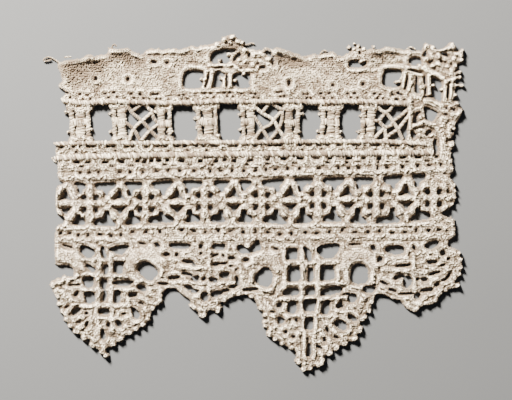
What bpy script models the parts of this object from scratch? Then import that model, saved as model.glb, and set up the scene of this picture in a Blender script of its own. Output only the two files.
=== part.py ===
"""A fragment of old needle lace, lying flat: an upper strip with a torn heading
and a lower strip with hanging points, whipped together along one seam.
Metres, +Z up. The tables are in millimetres, on a chart whose x runs along the
strips from the left end and whose y rises from the lowest point."""

import math
from collections import namedtuple

import bmesh
import bpy
import numpy as np

MM = 0.001
MIDDLE_X = 74.95
MIDDLE_Y = 59.04

# Thicknesses and widths of the worked thread
CLOTH_THICK = 1.1
BAR_THICK = 1.5
CORD_THICK = 1.9
NET_WIDTH = 1.0
SEAM_GAP = 0.35
SEAM_LEFT = 4.8
SEAM_RIGHT = 143.5
HEADING_TUCK = 0.7
ROW_TUCK = 0.8
WEDGE_TIP = 0.4
WEDGE_INSET = 0.2

# How finely the joined work is skinned, and how many triangles each strip keeps
SKIN_STEP = 0.34
UPPER_TRIANGLES = 5200
LOWER_TRIANGLES = 8600
GAP_POINTS = 18
LEAST_GAP = 1.15
FLAT_WITHIN = 0.08

Line = namedtuple("Line", "x heading_foot row_foot cord seam star_top axis star_foot")
Gap = namedtuple("Gap", "x y wide high turn taper square")
Star = namedtuple("Star", "left right tip tip_y low_left low_right low_tip low_tip_y")
Post = namedtuple("Post", "top_x foot_x width")
Cord = namedtuple("Cord", "line left right")

# The long lines of the work, one row for each place along the strip
LINES = [Line(*row) for row in (
    (5, 95.2, 79.6, 74.6, 73.4, 67.2, 59.0, 51.7),
    (15, 93.6, 80.0, 75.2, 73.4, 66.0, 59.2, 51.3),
    (25, 94.6, 80.0, 75.4, 73.4, 66.4, 59.2, 50.8),
    (35, 94.1, 79.9, 75.6, 73.6, 66.5, 59.3, 51.8),
    (45, 93.8, 80.1, 75.8, 74.1, 67.0, 59.2, 52.3),
    (55, 94.1, 80.1, 75.9, 73.9, 67.0, 60.0, 52.4),
    (65, 94.8, 80.2, 76.0, 73.9, 67.1, 59.9, 52.3),
    (75, 94.2, 80.2, 76.1, 74.1, 67.0, 60.1, 52.3),
    (85, 94.8, 80.5, 76.2, 74.6, 67.8, 60.0, 51.5),
    (95, 94.0, 80.5, 76.3, 74.7, 68.0, 60.5, 52.3),
    (105, 94.4, 80.5, 76.3, 74.8, 68.1, 60.5, 52.5),
    (115, 94.3, 80.5, 76.4, 74.8, 68.0, 60.3, 51.6),
    (125, 93.8, 80.3, 76.5, 75.0, 68.9, 60.8, 52.2),
    (135, 93.4, 79.6, 76.6, 75.3, 69.4, 61.2, 53.4),
    (145, 92.6, 79.0, 76.6, 75.3, 70.3, 61.3, 54.0),
)]

# Openings of the heading and of the worked panel at its right end
HEADING_GAPS = [Gap(*row) for row in (
    (53.0, 102.4, 7.0, 6.6, 0, 0.06, 3.4),
    (61.9, 102.5, 3.6, 4.7, -12, 0, 2.4),
    (70.2, 102.2, 5.6, 5.0, 0, 0, 3.4),
    (64.0, 110.6, 9.2, 5.2, 12, 0, 2.4),
    (110.4, 107.5, 6.0, 2.3, 5, 0, 3.0),
    (122.5, 102.6, 6.6, 6.4, -4, 0, 3.2),
    (130.4, 108.4, 4.8, 3.0, -5, 0, 2.6),
    (77.1, 106.6, 2.2, 1.1, 0, 0, 2.4),
    (137.8, 98.7, 3.6, 8.4, -3, 0, 3.0),
    (131.2, 101.6, 2.6, 4.2, -15, 0, 2.4),
    (136.2, 90.3, 5.2, 4.2, 0, 0, 2.4),
    (130.4, 88.5, 1.3, 3.2, 0, 0, 2.4),
    (129.9, 83.1, 1.3, 3.2, 0, 0, 2.4),
    (135.9, 83.6, 3.0, 2.2, 0, 0, 2.4),
    (137.5, 78.9, 1.4, 5.0, 0, 0, 2.4),
)]

# Star band: one row for each wedge between two worked figures, above and below
STARS = [Star(*row) for row in (
    (11.5, 15.5, 13.4, 62.6, 10.8, 15.3, 13.0, 54.6),
    (18.5, 26.3, 22.6, 62.0, 18.2, 26.0, 22.9, 56.0),
    (29.0, 35.3, 31.0, 61.8, 29.2, 34.5, 31.5, 56.0),
    (38.5, 46.2, 42.4, 62.0, 37.5, 46.5, 41.8, 55.7),
    (49.3, 56.3, 51.3, 62.7, 50.3, 55.5, 51.8, 56.5),
    (60.2, 65.8, 62.9, 63.2, 59.0, 64.5, 62.7, 56.3),
    (69.0, 73.5, 70.8, 63.6, 68.5, 73.8, 70.7, 56.5),
    (77.0, 85.0, 82.4, 63.2, 77.5, 85.8, 81.9, 56.5),
    (88.3, 95.0, 90.7, 63.3, 88.8, 94.8, 91.3, 57.0),
    (98.3, 106.2, 102.3, 63.8, 98.3, 105.0, 102.0, 57.5),
    (109.0, 116.0, 111.0, 64.2, 107.9, 113.7, 110.5, 57.0),
    (119.3, 126.4, 123.0, 64.3, 116.8, 125.4, 122.6, 57.0),
    (129.3, 134.3, 131.3, 65.0, 128.8, 136.0, 131.5, 57.0),
)]
# Small holes round the middle of each star, and round the middle of each peak between two stars
STAR_HOLES = [Gap(*row) for row in (
    (-2.1, 1.7, 1.6, 1.9, 14, 0, 2.4),
    (2.1, 1.7, 1.6, 1.9, -14, 0, 2.4),
    (-2.1, -2.6, 1.5, 2.0, -14, 0, 2.4),
    (2.1, -2.6, 1.5, 2.0, 14, 0, 2.4),
)]
PEAK_HOLES = [Gap(*row) for row in (
    (0, 2.6, 2.6, 3.0, 0, -0.5, 2.4),
    (0, -2.4, 3.4, 2.6, 0, 0.5, 2.4),
)]
STAR_CENTRES = (17, 36.5, 57, 77, 96.7, 117, 137)
PEAK_CENTRES = (27.3, 47.3, 67.2, 87.0, 107.0, 127.4)

# Square row: the buttonholed bars, their ties, and the strands of the nets
POSTS = [Post(*row) for row in (
    (10.4, 11.2, 1.7), (13.7, 13.8, 2.9), (16.1, 16.5, 1.5), (25.2, 25.9, 1.4), (28.2, 28.4, 2.9),
    (41.8, 42.0, 2.5), (44.5, 44.8, 1.2), (54.6, 55.6, 1.7), (57.6, 58.3, 2.9), (60.6, 60.9, 1.3),
    (70.2, 70.8, 1.5), (73.0, 73.3, 2.5), (86.5, 86.2, 2.6), (89.8, 88.8, 1.5), (98.4, 97.7, 1.6),
    (101.2, 101.0, 2.6), (103.8, 103.2, 1.6), (112.6, 112.0, 1.6), (115.5, 114.7, 2.5),
)]
TIES = (
    ((10.6, 87.2), (16.4, 87.4)), ((25.4, 87.6), (29.0, 87.6)), ((41.5, 86.8), (44.8, 86.8)),
    ((55.2, 87.4), (61.0, 87.4)), ((70.5, 87.4), (74.0, 87.4)), ((86.0, 87.0), (89.3, 87.0)),
    ((98.2, 87.4), (103.8, 87.4)), ((112.3, 87.4), (115.5, 87.4)),
)
NETS = (
    ((30, 94.3), (31.2, 90.7), (35.2, 87.8), (37.9, 84.6), (41.0, 81.4)),
    ((35.8, 94.2), (31.2, 90.7)),
    ((35.8, 94.2), (38.6, 90.8), (41.2, 90.9)),
    ((38.6, 90.8), (35.2, 87.8), (32.2, 85.4), (30.5, 80.8)),
    ((28.6, 87.6), (32.2, 85.4), (34.4, 80.8)),
    ((41.4, 86.9), (37.9, 84.6), (34.8, 80.9)),
    ((38.6, 90.8), (39.3, 88.3), (41.0, 86.9)),
    ((73.4, 94.2), (76.6, 90.5), (81.2, 88.4), (82.8, 84.6), (85.6, 81.0)),
    ((80.3, 94.6), (76.8, 90.4)),
    ((80.2, 94.2), (84.0, 91.4), (86.0, 92.4)),
    ((84.0, 91.3), (81.2, 88.3), (80.0, 86.2), (77.0, 85.2), (74.2, 81.2)),
    ((74.0, 89.6), (75.8, 87.2), (77.0, 85.2), (79.6, 80.9)),
    ((84.0, 91.3), (84.3, 88.6), (82.8, 84.6), (79.6, 81.0)),
    ((117.5, 94.2), (118.2, 91.5), (120.1, 90.7), (121.9, 91.4), (122.8, 94.0)),
    ((115.0, 88.0), (118.0, 87.6), (119.4, 89.8), (120.4, 90.7)),
    ((120.4, 90.7), (122.5, 88.2), (124.0, 85.5), (126.6, 80.8)),
    ((128.8, 92.8), (125.6, 89.9), (122.5, 88.2), (121.4, 85.9), (119.8, 85.3), (118.0, 87.6)),
    ((119.8, 85.3), (115.4, 80.9)),
    ((119.8, 85.3), (120.6, 80.8)),
    ((129.0, 90.0), (124.0, 85.5), (120.0, 81.2)),
)

# Hanging points: openings of the left point, the middle drop, the right point
# and the end drop, and the small ones between them
LEFT_GAPS = [Gap(*row) for row in (
    (15.8, 42.1, 5.0, 3.3, -18, 0, 3.0),
    (21.7, 41.7, 1.3, 4.6, 8, 0, 2.4),
    (27.2, 42.7, 6.2, 2.6, 12, 0.5, 2.4),
    (17.1, 36.2, 3.8, 1.7, -35, 0, 2.4),
    (22.4, 35.8, 1.9, 3.4, -8, 0.2, 2.4),
    (27.0, 36.6, 3.0, 4.7, -10, 0.1, 4.0),
    (37.4, 35.3, 6.6, 6.2, -25, 0, 2.8),
    (16.4, 31.3, 3.6, 4.7, 20, 0, 3.0),
    (21.8, 30.3, 2.3, 3.6, -5, 0.2, 2.4),
    (28.4, 31.1, 7.2, 1.8, 2, 0, 2.0),
    (16.8, 26.4, 3.6, 4.8, 8, 0, 3.0),
    (22.0, 26.4, 1.3, 3.9, -18, 0, 2.4),
    (26.5, 26.4, 2.2, 4.8, -4, 0, 3.0),
    (35.0, 29.4, 3.6, 1.9, -20, 0, 2.4),
    (31.8, 27.0, 2.9, 1.5, 0, 0, 2.4),
    (12.0, 21.5, 3.4, 2.0, 35, 0, 2.4),
    (21.8, 21.2, 3.7, 2.1, 5, 0, 3.0),
    (32.7, 20.8, 2.2, 3.9, 30, -0.2, 2.4),
    (27.1, 16.9, 1.6, 2.6, 25, 0, 2.4),
    (21.4, 13.3, 1.5, 3.8, 0, -0.4, 2.4),
)]
MIDDLE_GAPS = [Gap(*row) for row in (
    (48.4, 44.1, 7.8, 1.8, 0, 0, 3.0),
    (61.9, 43.8, 4.6, 1.9, -3, 0, 4.0),
    (70.1, 43.2, 3.4, 2.6, -25, 0, 2.4),
    (74.2, 43.7, 4.8, 2.6, 35, 0, 2.4),
    (43.7, 41.1, 2.2, 1.3, -10, 0, 2.4),
    (66.4, 39.9, 2.4, 1.2, 0, 0, 2.4),
    (71.5, 39.2, 1.9, 1.4, 0, 0, 2.4),
    (51.0, 38.7, 3.6, 1.2, -5, 0, 2.4),
    (60.9, 37.7, 2.4, 1.3, 15, 0, 2.4),
    (53.9, 32.6, 2.6, 1.9, 30, 0.4, 2.4),
    (60.0, 32.2, 2.9, 1.7, -12, 0, 2.4),
    (64.0, 33.8, 3.2, 2.4, 15, 0.3, 2.4),
    (46.3, 33.0, 3.8, 1.3, 8, 0, 2.4),
    (68.4, 31.9, 1.2, 3.4, 12, 0, 2.4),
    (51.7, 29.3, 3.4, 1.5, -32, 0, 2.4),
    (57.0, 26.4, 2.5, 3.2, 8, 0, 2.4),
    (61.2, 27.4, 4.4, 1.8, 16, 0, 2.4),
)]
RIGHT_GAPS = [Gap(*row) for row in (
    (77.9, 33.3, 5.6, 6.8, -30, -0.2, 2.6),
    (87.5, 41.2, 3.9, 4.0, 0, 0, 4.0),
    (93.0, 41.0, 1.9, 5.6, 15, 0, 2.4),
    (100.3, 42.2, 7.4, 5.0, 4, 0.35, 2.6),
    (88.3, 34.1, 4.2, 5.2, 3, 0, 4.5),
    (94.0, 33.9, 2.1, 4.9, 0, 0, 4.0),
    (99.9, 34.5, 5.1, 5.0, 5, 0, 3.5),
    (111.1, 34.2, 6.5, 6.8, 0, 0, 2.6),
    (87.2, 28.0, 6.2, 2.7, 4, 0, 2.4),
    (94.0, 28.2, 3.2, 2.7, 5, 0, 4.0),
    (101.4, 28.4, 7.4, 2.9, 10, 0, 2.4),
    (87.6, 22.6, 3.4, 4.4, 4, 0, 2.4),
    (93.7, 23.3, 4.4, 4.1, 0, 0.2, 4.0),
    (99.4, 22.5, 2.9, 4.8, -10, 0, 2.4),
    (104.2, 23.4, 2.4, 2.2, 0, -0.5, 2.4),
    (108.6, 25.9, 2.9, 3.3, 0, 0, 2.4),
    (114.5, 28.9, 4.0, 2.6, 0, 0.3, 2.4),
    (83.1, 23.4, 1.8, 2.0, 0, 0, 2.4),
    (83.5, 17.9, 2.3, 2.6, -30, 0.4, 2.4),
    (93.5, 16.9, 3.2, 4.2, 0, 0, 3.5),
    (104.6, 16.5, 4.8, 2.9, -28, 0, 2.4),
    (108.6, 18.9, 3.4, 1.8, -30, 0, 2.4),
    (93.5, 7.8, 1.8, 4.4, 0, -0.4, 2.4),
)]
END_GAPS = [Gap(*row) for row in (
    (115.9, 43.4, 1.5, 2.2, 25, 0, 2.4),
    (118.2, 39.4, 1.8, 1.8, 0, 0, 2.4),
    (123.6, 42.7, 7.0, 2.9, -2, 0, 2.4),
    (136.4, 44.5, 5.2, 2.3, 20, 0, 2.4),
    (140.2, 41.6, 1.7, 2.0, 20, 0, 2.4),
    (136.5, 38.5, 3.8, 1.2, 5, 0, 2.4),
    (124.8, 33.3, 3.8, 1.4, 18, 0, 2.4),
    (127.9, 31.6, 2.9, 4.2, -18, 0, 2.4),
    (133.8, 32.4, 2.2, 1.5, -5, 0, 2.4),
    (138.2, 30.7, 2.0, 1.3, 30, 0, 2.4),
    (134.6, 28.7, 4.4, 1.3, 10, 0, 2.4),
    (131.3, 26.6, 2.1, 2.2, -30, 0, 2.4),
)]

# Torn upper edge from the left end, and the two ends of the upper strip
TORN_EDGE = (
    (6.2, 105.0), (5.4, 107.6), (8, 108.9), (12, 109.2), (16.5, 110.8), (20, 110.7), (23.5, 112.4),
    (29, 113.0), (32.5, 111.9), (35, 111.0), (38, 112.8), (44, 113.0), (50, 113.0), (54, 114.0),
    (60, 115.3), (64, 117.0), (66.7, 117.6), (69.3, 116.4), (71.5, 114.4), (75, 113.0),
    (78.6, 111.4), (82, 113.3), (85.5, 112.6), (90, 110.8), (96, 111.1), (101, 112.2),
    (104.5, 110.6), (108, 112.3), (112, 113.4), (116, 112.6), (120, 113.7), (126, 113.2),
    (132.8, 112.1),
)
UPPER_RIGHT_EDGE = (
    (134.5, 115.0), (138.0, 113.4), (143.5, 115.4), (147.0, 112.4), (146.9, 108.2), (145.4, 104.6),
    (146.3, 100.6), (144.6, 97.0), (146.4, 93.2), (144.6, 90.6), (144.6, 84.4), (143.6, 81.8),
    (144.8, 79.2), (143.7, 77.0),
)
UPPER_LEFT_EDGE = ((7.2, 94.6), (7.6, 98.0), (5.6, 100.2), (7.4, 102.0))
ROW_RIGHT = 127.9
CORDS = [Cord(*row) for row in (
    ("heading_foot", 7.6, 128.5),
    ("row_foot", 5.6, 134),
    ("cord", 5.6, 136),
)]

# Outline of the lower strip, from the seam down its right end and back along the points
LOWER_RIGHT_EDGE = (
    (143.6, 73.0), (144.5, 70.2), (142.3, 68.2), (144.3, 66.8), (145.0, 62.0), (144.4, 59.4),
    (142.9, 57.2), (140.6, 56.2), (139.8, 55.4), (140.4, 54.9), (142.4, 53.9), (143.8, 54.2),
    (144.6, 52.4), (144.7, 49.0), (144.8, 47.2), (142.6, 46.4), (141.9, 45.0), (142.5, 43.6),
    (145.2, 43.2), (146.4, 40.6), (147.2, 37.8), (146.5, 34.4), (145.6, 32.8), (144.0, 31.4),
    (145.6, 31.0), (146.1, 30.2), (145.2, 29.2), (142.6, 29.0), (140.4, 27.8),
)
POINT_EDGE = (
    (139.2, 26.4), (138.2, 24.6), (136.6, 23.7), (135.0, 23.2), (133.4, 23.2), (132.2, 22.4), (131.4, 21.2),
    (130.3, 20.7), (129.2, 21.2), (128.0, 21.8), (126.8, 22.8), (126.0, 24.0), (125.4, 25.2), (123.6, 25.2),
    (122.0, 25.6), (120.9, 26.4), (119.6, 27.0), (118.0, 27.2), (116.6, 27.0), (116.3, 25.0), (115.0, 22.5),
    (115.5, 21.0), (113.0, 20.5), (114.0, 19.3), (113.0, 18.0), (111.0, 17.3), (112.5, 15.5), (111.7, 13.5),
    (110.2, 13.2), (110.8, 11.8), (109.0, 10.5), (107.3, 10.8), (106.9, 9.3), (105.6, 8.8), (104.3, 9.6),
    (103.8, 7.8), (102.5, 7.2), (101.8, 8.0), (101.7, 6.0), (100.5, 5.4), (99.0, 6.2), (99.3, 4.2),
    (98.2, 2.2), (96.8, 1.4), (95.3, 2.2), (93.8, 0.3), (92.5, 0.5), (90.4, 0.9), (91.0, 2.0), (89.6, 2.5),
    (88.3, 3.8), (89.0, 5.8), (88.8, 7.4), (87.5, 7.6), (86.0, 8.6), (84.8, 9.5), (83.3, 10.6), (82.5, 11.2),
    (81.0, 10.8), (80.7, 12.2), (78.9, 12.3), (78.4, 13.6), (79.0, 15.2), (77.2, 16.3), (77.0, 17.2),
    (78.4, 18.8), (77.0, 19.8), (77.4, 21.0), (75.8, 21.6), (75.2, 23.6), (74.5, 25.4), (73.0, 25.6),
    (71.8, 27.0), (70.6, 27.0), (69.2, 26.4), (67.6, 26.4), (66.4, 25.9), (65.2, 25.2), (64.4, 24.3),
    (62.5, 24.6), (62.7, 23.2), (62.3, 21.2), (61.4, 20.3), (60.9, 21.2), (59.8, 21.4), (58.4, 21.8),
    (57.9, 20.4), (57.2, 19.0), (56.3, 18.5), (55.4, 19.0), (54.8, 20.2), (54.2, 21.3), (53.0, 21.6),
    (52.0, 22.6), (51.8, 24.2), (52.0, 25.2), (50.6, 26.0), (49.0, 27.0), (47.8, 28.2), (47.0, 29.2),
    (45.0, 29.2), (43.9, 29.2), (42.5, 28.0), (42.3, 26.0), (41.8, 24.0), (41.0, 23.2), (39.8, 23.0),
    (39.6, 21.6), (38.3, 21.2), (38.3, 19.2), (37.8, 17.6), (36.6, 17.3), (36.4, 16.0), (34.4, 15.7),
    (33.8, 14.3), (32.0, 14.2), (31.7, 13.0), (30.2, 12.8), (29.0, 12.6), (28.3, 10.8), (27.2, 10.3),
    (26.0, 10.6), (25.9, 9.0), (24.8, 8.7), (23.6, 9.0), (22.5, 8.0), (22.8, 6.8), (23.6, 5.6), (22.8, 4.8),
    (21.5, 6.0), (20.2, 7.2), (19.2, 8.4), (17.8, 8.2), (16.6, 9.6), (17.0, 11.2), (16.0, 11.6), (15.0, 10.8),
    (13.8, 11.8), (13.5, 13.2), (12.0, 13.3), (10.8, 14.0), (10.9, 15.0), (9.5, 15.4), (8.9, 17.2), (7.7, 18.2),
    (7.9, 19.6), (6.5, 20.8), (6.2, 22.6), (5.2, 24.2), (5.6, 25.2), (4.4, 26.8), (3.8, 28.8), (2.8, 30.2),
    (3.8, 32.0), (5.0, 32.5), (6.8, 32.8), (8.0, 34.0), (9.6, 33.2),
)
LOWER_LEFT_EDGE = (
    (11.2, 33.2), (11.3, 35.2), (10.4, 36.8), (8.4, 37.5), (6.0, 37.3), (4.9, 37.5), (4.5, 38.4),
    (4.5, 51.4), (8.0, 52.0), (8.0, 54.4), (4.8, 55.0), (4.7, 65.2), (8.4, 65.8), (5.4, 67.2), (5.5, 72.8),
)

# The torn edge has rolled up: middle of each roll, its half length, and how high it stands
Roll = namedtuple("Roll", "x y reach rise")
ROLLS = [Roll(*row) for row in (
    (13.5, 109.5, 8.0, 1.7),
    (29.0, 112.6, 7.5, 1.9),
    (46.0, 113.0, 9.0, 0.9),
    (85.5, 113.0, 7.5, 2.2),
    (118.5, 113.0, 6.5, 1.8),
    (65.5, 116.8, 5.0, 1.2),
    (141.0, 114.0, 6.0, 1.2),
)]
ROLL_DEPTH = 5.0

LINEN_UPPER = (0.66, 0.60, 0.49)
LINEN_LOWER = (0.68, 0.62, 0.52)
LINEN_ROUGHNESS = 0.92


def at(name, x):
    """Where a long line of the work runs at x."""
    places = [line.x for line in LINES]
    heights = [getattr(line, name) for line in LINES]
    return float(np.interp(x, places, heights))


def along(name, x0, x1, rise=0.0, step=8.0):
    """Points of a long line of the work from x0 to x1, moved up by rise."""
    count = max(2, round(abs(x1 - x0) / step) + 1)
    return [(x, at(name, x) + rise) for x in np.linspace(x0, x1, count)]


def gap_ring(gap):
    """The rim of an opening: an oval, squarer for a higher power, narrower to one end."""
    ring = []
    for k in range(GAP_POINTS):
        turn = 2 * math.pi * k / GAP_POINTS
        c = math.cos(turn)
        s = math.sin(turn)
        u = math.copysign(abs(c) ** (2 / gap.square), c) * gap.wide / 2
        v = math.copysign(abs(s) ** (2 / gap.square), s) * gap.high / 2
        u *= 1 + gap.taper * 2 * v / gap.high
        a = math.radians(gap.turn)
        ring.append((gap.x + u * math.cos(a) - v * math.sin(a), gap.y + u * math.sin(a) + v * math.cos(a)))
    return ring


def star_rings():
    """The openings of the star band: wedges above and below, and small holes in each figure."""
    rings = []
    for star in STARS:
        top_left = (star.left, at("star_top", star.left) - WEDGE_INSET)
        top_right = (star.right, at("star_top", star.right) - WEDGE_INSET)
        tip = [(star.tip - WEDGE_TIP, star.tip_y), (star.tip + WEDGE_TIP, star.tip_y)]
        rings.append([*tip, top_right, top_left])
        low_left = (star.low_left, at("star_foot", star.low_left) + WEDGE_INSET)
        low_right = (star.low_right, at("star_foot", star.low_right) + WEDGE_INSET)
        low_tip = [(star.low_tip + WEDGE_TIP, star.low_tip_y), (star.low_tip - WEDGE_TIP, star.low_tip_y)]
        rings.append([low_left, low_right, *low_tip])
    for centres, holes in ((STAR_CENTRES, STAR_HOLES), (PEAK_CENTRES, PEAK_HOLES)):
        for x in centres:
            rings += [gap_ring(hole._replace(x=x + hole.x, y=at("axis", x) + hole.y)) for hole in holes]
    return rings


def row_point(x, y, z):
    """A chart point, in metres, with the middle of the fragment's box at the origin."""
    return ((x - MIDDLE_X) * MM, (y - MIDDLE_Y) * MM, z * MM)


def plate(name, outline, rings):
    """A flat cloth of the outline with its openings cut through, standing on z = 0."""
    curve = bpy.data.curves.new(name, "CURVE")
    curve.dimensions = "2D"
    curve.fill_mode = "BOTH"
    curve.extrude = CLOTH_THICK * MM / 2
    for ring in [outline, *rings]:
        spline = curve.splines.new("POLY")
        spline.points.add(len(ring) - 1)
        spline.use_cyclic_u = True
        for point, (x, y) in zip(spline.points, ring):
            point.co = (*row_point(x, y, 0.0), 1.0)
    cloth = bpy.data.objects.new(name, curve)
    cloth.location.z = CLOTH_THICK * MM / 2
    return cloth


def bar(name, path, width, thick):
    """A worked bar or cord along the path: a tube with filled ends, resting on z = 0."""
    curve = bpy.data.curves.new(name, "CURVE")
    curve.dimensions = "3D"
    curve.bevel_depth = thick * MM / 2
    curve.bevel_resolution = 2
    curve.use_fill_caps = True
    spline = curve.splines.new("POLY")
    spline.points.add(len(path) - 1)
    for point, (x, y) in zip(spline.points, path):
        point.co = (*row_point(x, y, 0.0), 1.0)
        point.radius = width / thick
    tube = bpy.data.objects.new(name, curve)
    tube.scale.z = thick / width
    tube.location.z = thick * MM / 2
    return tube


def lift(x, y):
    """How high the rolled upper edge carries the work at a chart point."""
    height = 0.0
    for roll in ROLLS:
        across = 1 - abs(x - roll.x) / roll.reach
        inward = 1 - (roll.y - y) / ROLL_DEPTH
        if across > 0 and inward > 0:
            height = max(height, roll.rise * min(1.0, 2 * across) * min(1.0, inward) ** 1.5)
    return height


def worked_solid(name, pieces, triangles, colour, collection):
    """The pieces joined under one skin and thinned to the wanted number of triangles."""
    graph = bpy.context.evaluated_depsgraph_get()
    work = bmesh.new()
    for piece in pieces:
        bpy.context.scene.collection.objects.link(piece)
    graph.update()
    for piece in pieces:
        mesh = bpy.data.meshes.new_from_object(piece.evaluated_get(graph))
        mesh.transform(piece.matrix_world)
        work.from_mesh(mesh)
        bpy.data.meshes.remove(mesh)
    for piece in pieces:
        bpy.data.objects.remove(piece)
    bmesh.ops.remove_doubles(work, verts=work.verts, dist=0.001 * MM)
    joined = bpy.data.meshes.new(name)
    work.to_mesh(joined)
    work.free()
    solid = bpy.data.objects.new(name, joined)
    collection.objects.link(solid)
    skin = solid.modifiers.new("one skin", "REMESH")
    skin.mode = "VOXEL"
    skin.voxel_size = SKIN_STEP * MM
    graph.update()
    skinned = bpy.data.meshes.new_from_object(solid.evaluated_get(graph))
    solid.modifiers.remove(skin)
    solid.data = skinned
    for vertex in skinned.vertices:
        x = vertex.co.x / MM + MIDDLE_X
        y = vertex.co.y / MM + MIDDLE_Y
        vertex.co.z += lift(x, y) * MM
    skinned.calc_loop_triangles()
    thin = solid.modifiers.new("fewer faces", "DECIMATE")
    thin.ratio = triangles / len(skinned.loop_triangles)
    thin.use_collapse_triangulate = True
    graph.update()
    thinned = bpy.data.meshes.new_from_object(solid.evaluated_get(graph))
    solid.modifiers.remove(thin)
    solid.data = thinned
    for vertex in thinned.vertices:
        if vertex.co.z < FLAT_WITHIN * MM:
            vertex.co.z = 0.0
    thinned.materials.append(linen(name, colour))
    return solid


def linen(name, colour):
    """A matt linen thread of one colour."""
    material = bpy.data.materials.new(name + " linen")
    material.use_nodes = True
    shader = material.node_tree.nodes["Principled BSDF"]
    shader.inputs["Base Color"].default_value = (*colour, 1.0)
    shader.inputs["Roughness"].default_value = LINEN_ROUGHNESS
    shader.inputs["Metallic"].default_value = 0.0
    return material


def upper_strip(collection):
    """The heading with its torn edge, the square row, and the band with its thick cord."""
    seam = along("seam", SEAM_LEFT, SEAM_RIGHT, SEAM_GAP / 2)
    outline = seam + [*reversed(UPPER_RIGHT_EDGE)] + [*reversed(TORN_EDGE)] + [*reversed(UPPER_LEFT_EDGE)]
    outline += along("heading_foot", UPPER_LEFT_EDGE[0][0], ROW_RIGHT, -HEADING_TUCK)
    outline += along("row_foot", ROW_RIGHT, SEAM_LEFT, ROW_TUCK)
    gaps = [gap for gap in HEADING_GAPS if min(gap.wide, gap.high) > LEAST_GAP]
    pieces = [plate("upper cloth", outline, [gap_ring(gap) for gap in gaps])]
    for cord in CORDS:
        pieces.append(bar(cord.line, along(cord.line, cord.left, cord.right), CORD_THICK, CORD_THICK))
    for post in POSTS:
        top = (post.top_x, at("heading_foot", post.top_x))
        foot = (post.foot_x, at("row_foot", post.foot_x))
        pieces.append(bar("post", [top, foot], post.width, BAR_THICK))
    for tie in TIES:
        pieces.append(bar("tie", tie, CORD_THICK, BAR_THICK))
    for strand in NETS:
        pieces.append(bar("strand", strand, NET_WIDTH, BAR_THICK))
    return worked_solid("upper_strip", pieces, UPPER_TRIANGLES, LINEN_UPPER, collection)


def lower_strip(collection):
    """The star band, the lower band, and the hanging points with their knotted edge."""
    seam = along("seam", SEAM_RIGHT, LOWER_LEFT_EDGE[-1][0], -SEAM_GAP / 2)
    outline = seam + [*reversed(LOWER_LEFT_EDGE)] + [*reversed(POINT_EDGE)] + [*reversed(LOWER_RIGHT_EDGE)]
    gaps = [*LEFT_GAPS, *MIDDLE_GAPS, *RIGHT_GAPS, *END_GAPS]
    gaps = [gap for gap in gaps if min(gap.wide, gap.high) > LEAST_GAP]
    pieces = [plate("lower cloth", outline, [*star_rings(), *[gap_ring(gap) for gap in gaps]])]
    return worked_solid("lower_strip", pieces, LOWER_TRIANGLES, LINEN_LOWER, collection)


def main():
    for thing in list(bpy.data.objects):
        bpy.data.objects.remove(thing)
    collection = bpy.data.collections.new("lace fragment")
    bpy.context.scene.collection.children.link(collection)
    upper_strip(collection)
    lower_strip(collection)


main()
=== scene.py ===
"""The looks of the lace fragment: its cloth, stitches, bars, nets and cords, on the
same chart as the solids. The chart is in millimetres, with x along the strips from
the left end and y rising from the lowest point. The places in its tables were read
from enlarged crops of the picture. Heights and depths are guessed."""

import math

from collections import namedtuple

import bpy
import numpy as np
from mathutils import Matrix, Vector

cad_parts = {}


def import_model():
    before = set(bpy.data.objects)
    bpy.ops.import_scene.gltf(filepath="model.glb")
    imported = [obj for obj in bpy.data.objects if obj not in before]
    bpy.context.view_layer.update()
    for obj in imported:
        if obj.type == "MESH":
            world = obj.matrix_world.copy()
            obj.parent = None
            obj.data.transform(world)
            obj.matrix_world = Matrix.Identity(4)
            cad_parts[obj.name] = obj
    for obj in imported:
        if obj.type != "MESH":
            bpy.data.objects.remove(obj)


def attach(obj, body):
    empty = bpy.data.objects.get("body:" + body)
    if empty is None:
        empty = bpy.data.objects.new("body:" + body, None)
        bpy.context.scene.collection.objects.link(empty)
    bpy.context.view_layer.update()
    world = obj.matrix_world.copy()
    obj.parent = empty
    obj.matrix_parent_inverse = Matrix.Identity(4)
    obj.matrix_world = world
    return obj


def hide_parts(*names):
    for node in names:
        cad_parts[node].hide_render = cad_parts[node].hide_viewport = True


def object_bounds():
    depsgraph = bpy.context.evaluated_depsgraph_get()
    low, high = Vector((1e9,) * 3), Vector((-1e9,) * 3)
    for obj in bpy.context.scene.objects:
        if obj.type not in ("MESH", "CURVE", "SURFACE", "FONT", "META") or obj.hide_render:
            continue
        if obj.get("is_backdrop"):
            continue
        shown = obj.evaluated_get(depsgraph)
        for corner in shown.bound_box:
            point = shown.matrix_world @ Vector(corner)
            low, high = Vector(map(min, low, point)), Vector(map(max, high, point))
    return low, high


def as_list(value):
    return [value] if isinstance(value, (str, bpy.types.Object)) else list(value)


# A millimetre in metres, and the chart's place of the frame's middle
MM = 0.001
MIDDLE_X = 74.95
MIDDLE_Y = 59.04
RNG = np.random.default_rng(7)

# What the camera sees: its middle on the chart and its width
VIEW_X = 74.9
VIEW_Y = 60.2
VIEW_WIDTH = 179.2

# The square cells that the worked area is counted in, and how many of them make one cell of the cloth's mesh
CELL = 0.15
X_CELLS = np.arange(-4.0, 151.0, CELL)
Y_CELLS = np.arange(-4.0, 122.0, CELL)
CLOTH_STEP = 3

# The relief: the trim of its rim, its height there and above that, and how it dips and swells further in
EDGE_TRIM = 0.12
RIM_TOP = 0.30
GROUND_TOP = 1.35
BODY_RADIUS = 1.25
DIP = 0.35
DIP_REACH = 1.4
UNEVEN = 0.12
HEADING_UNEVEN = 0.22
HEADING_FROM = 96

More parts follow.
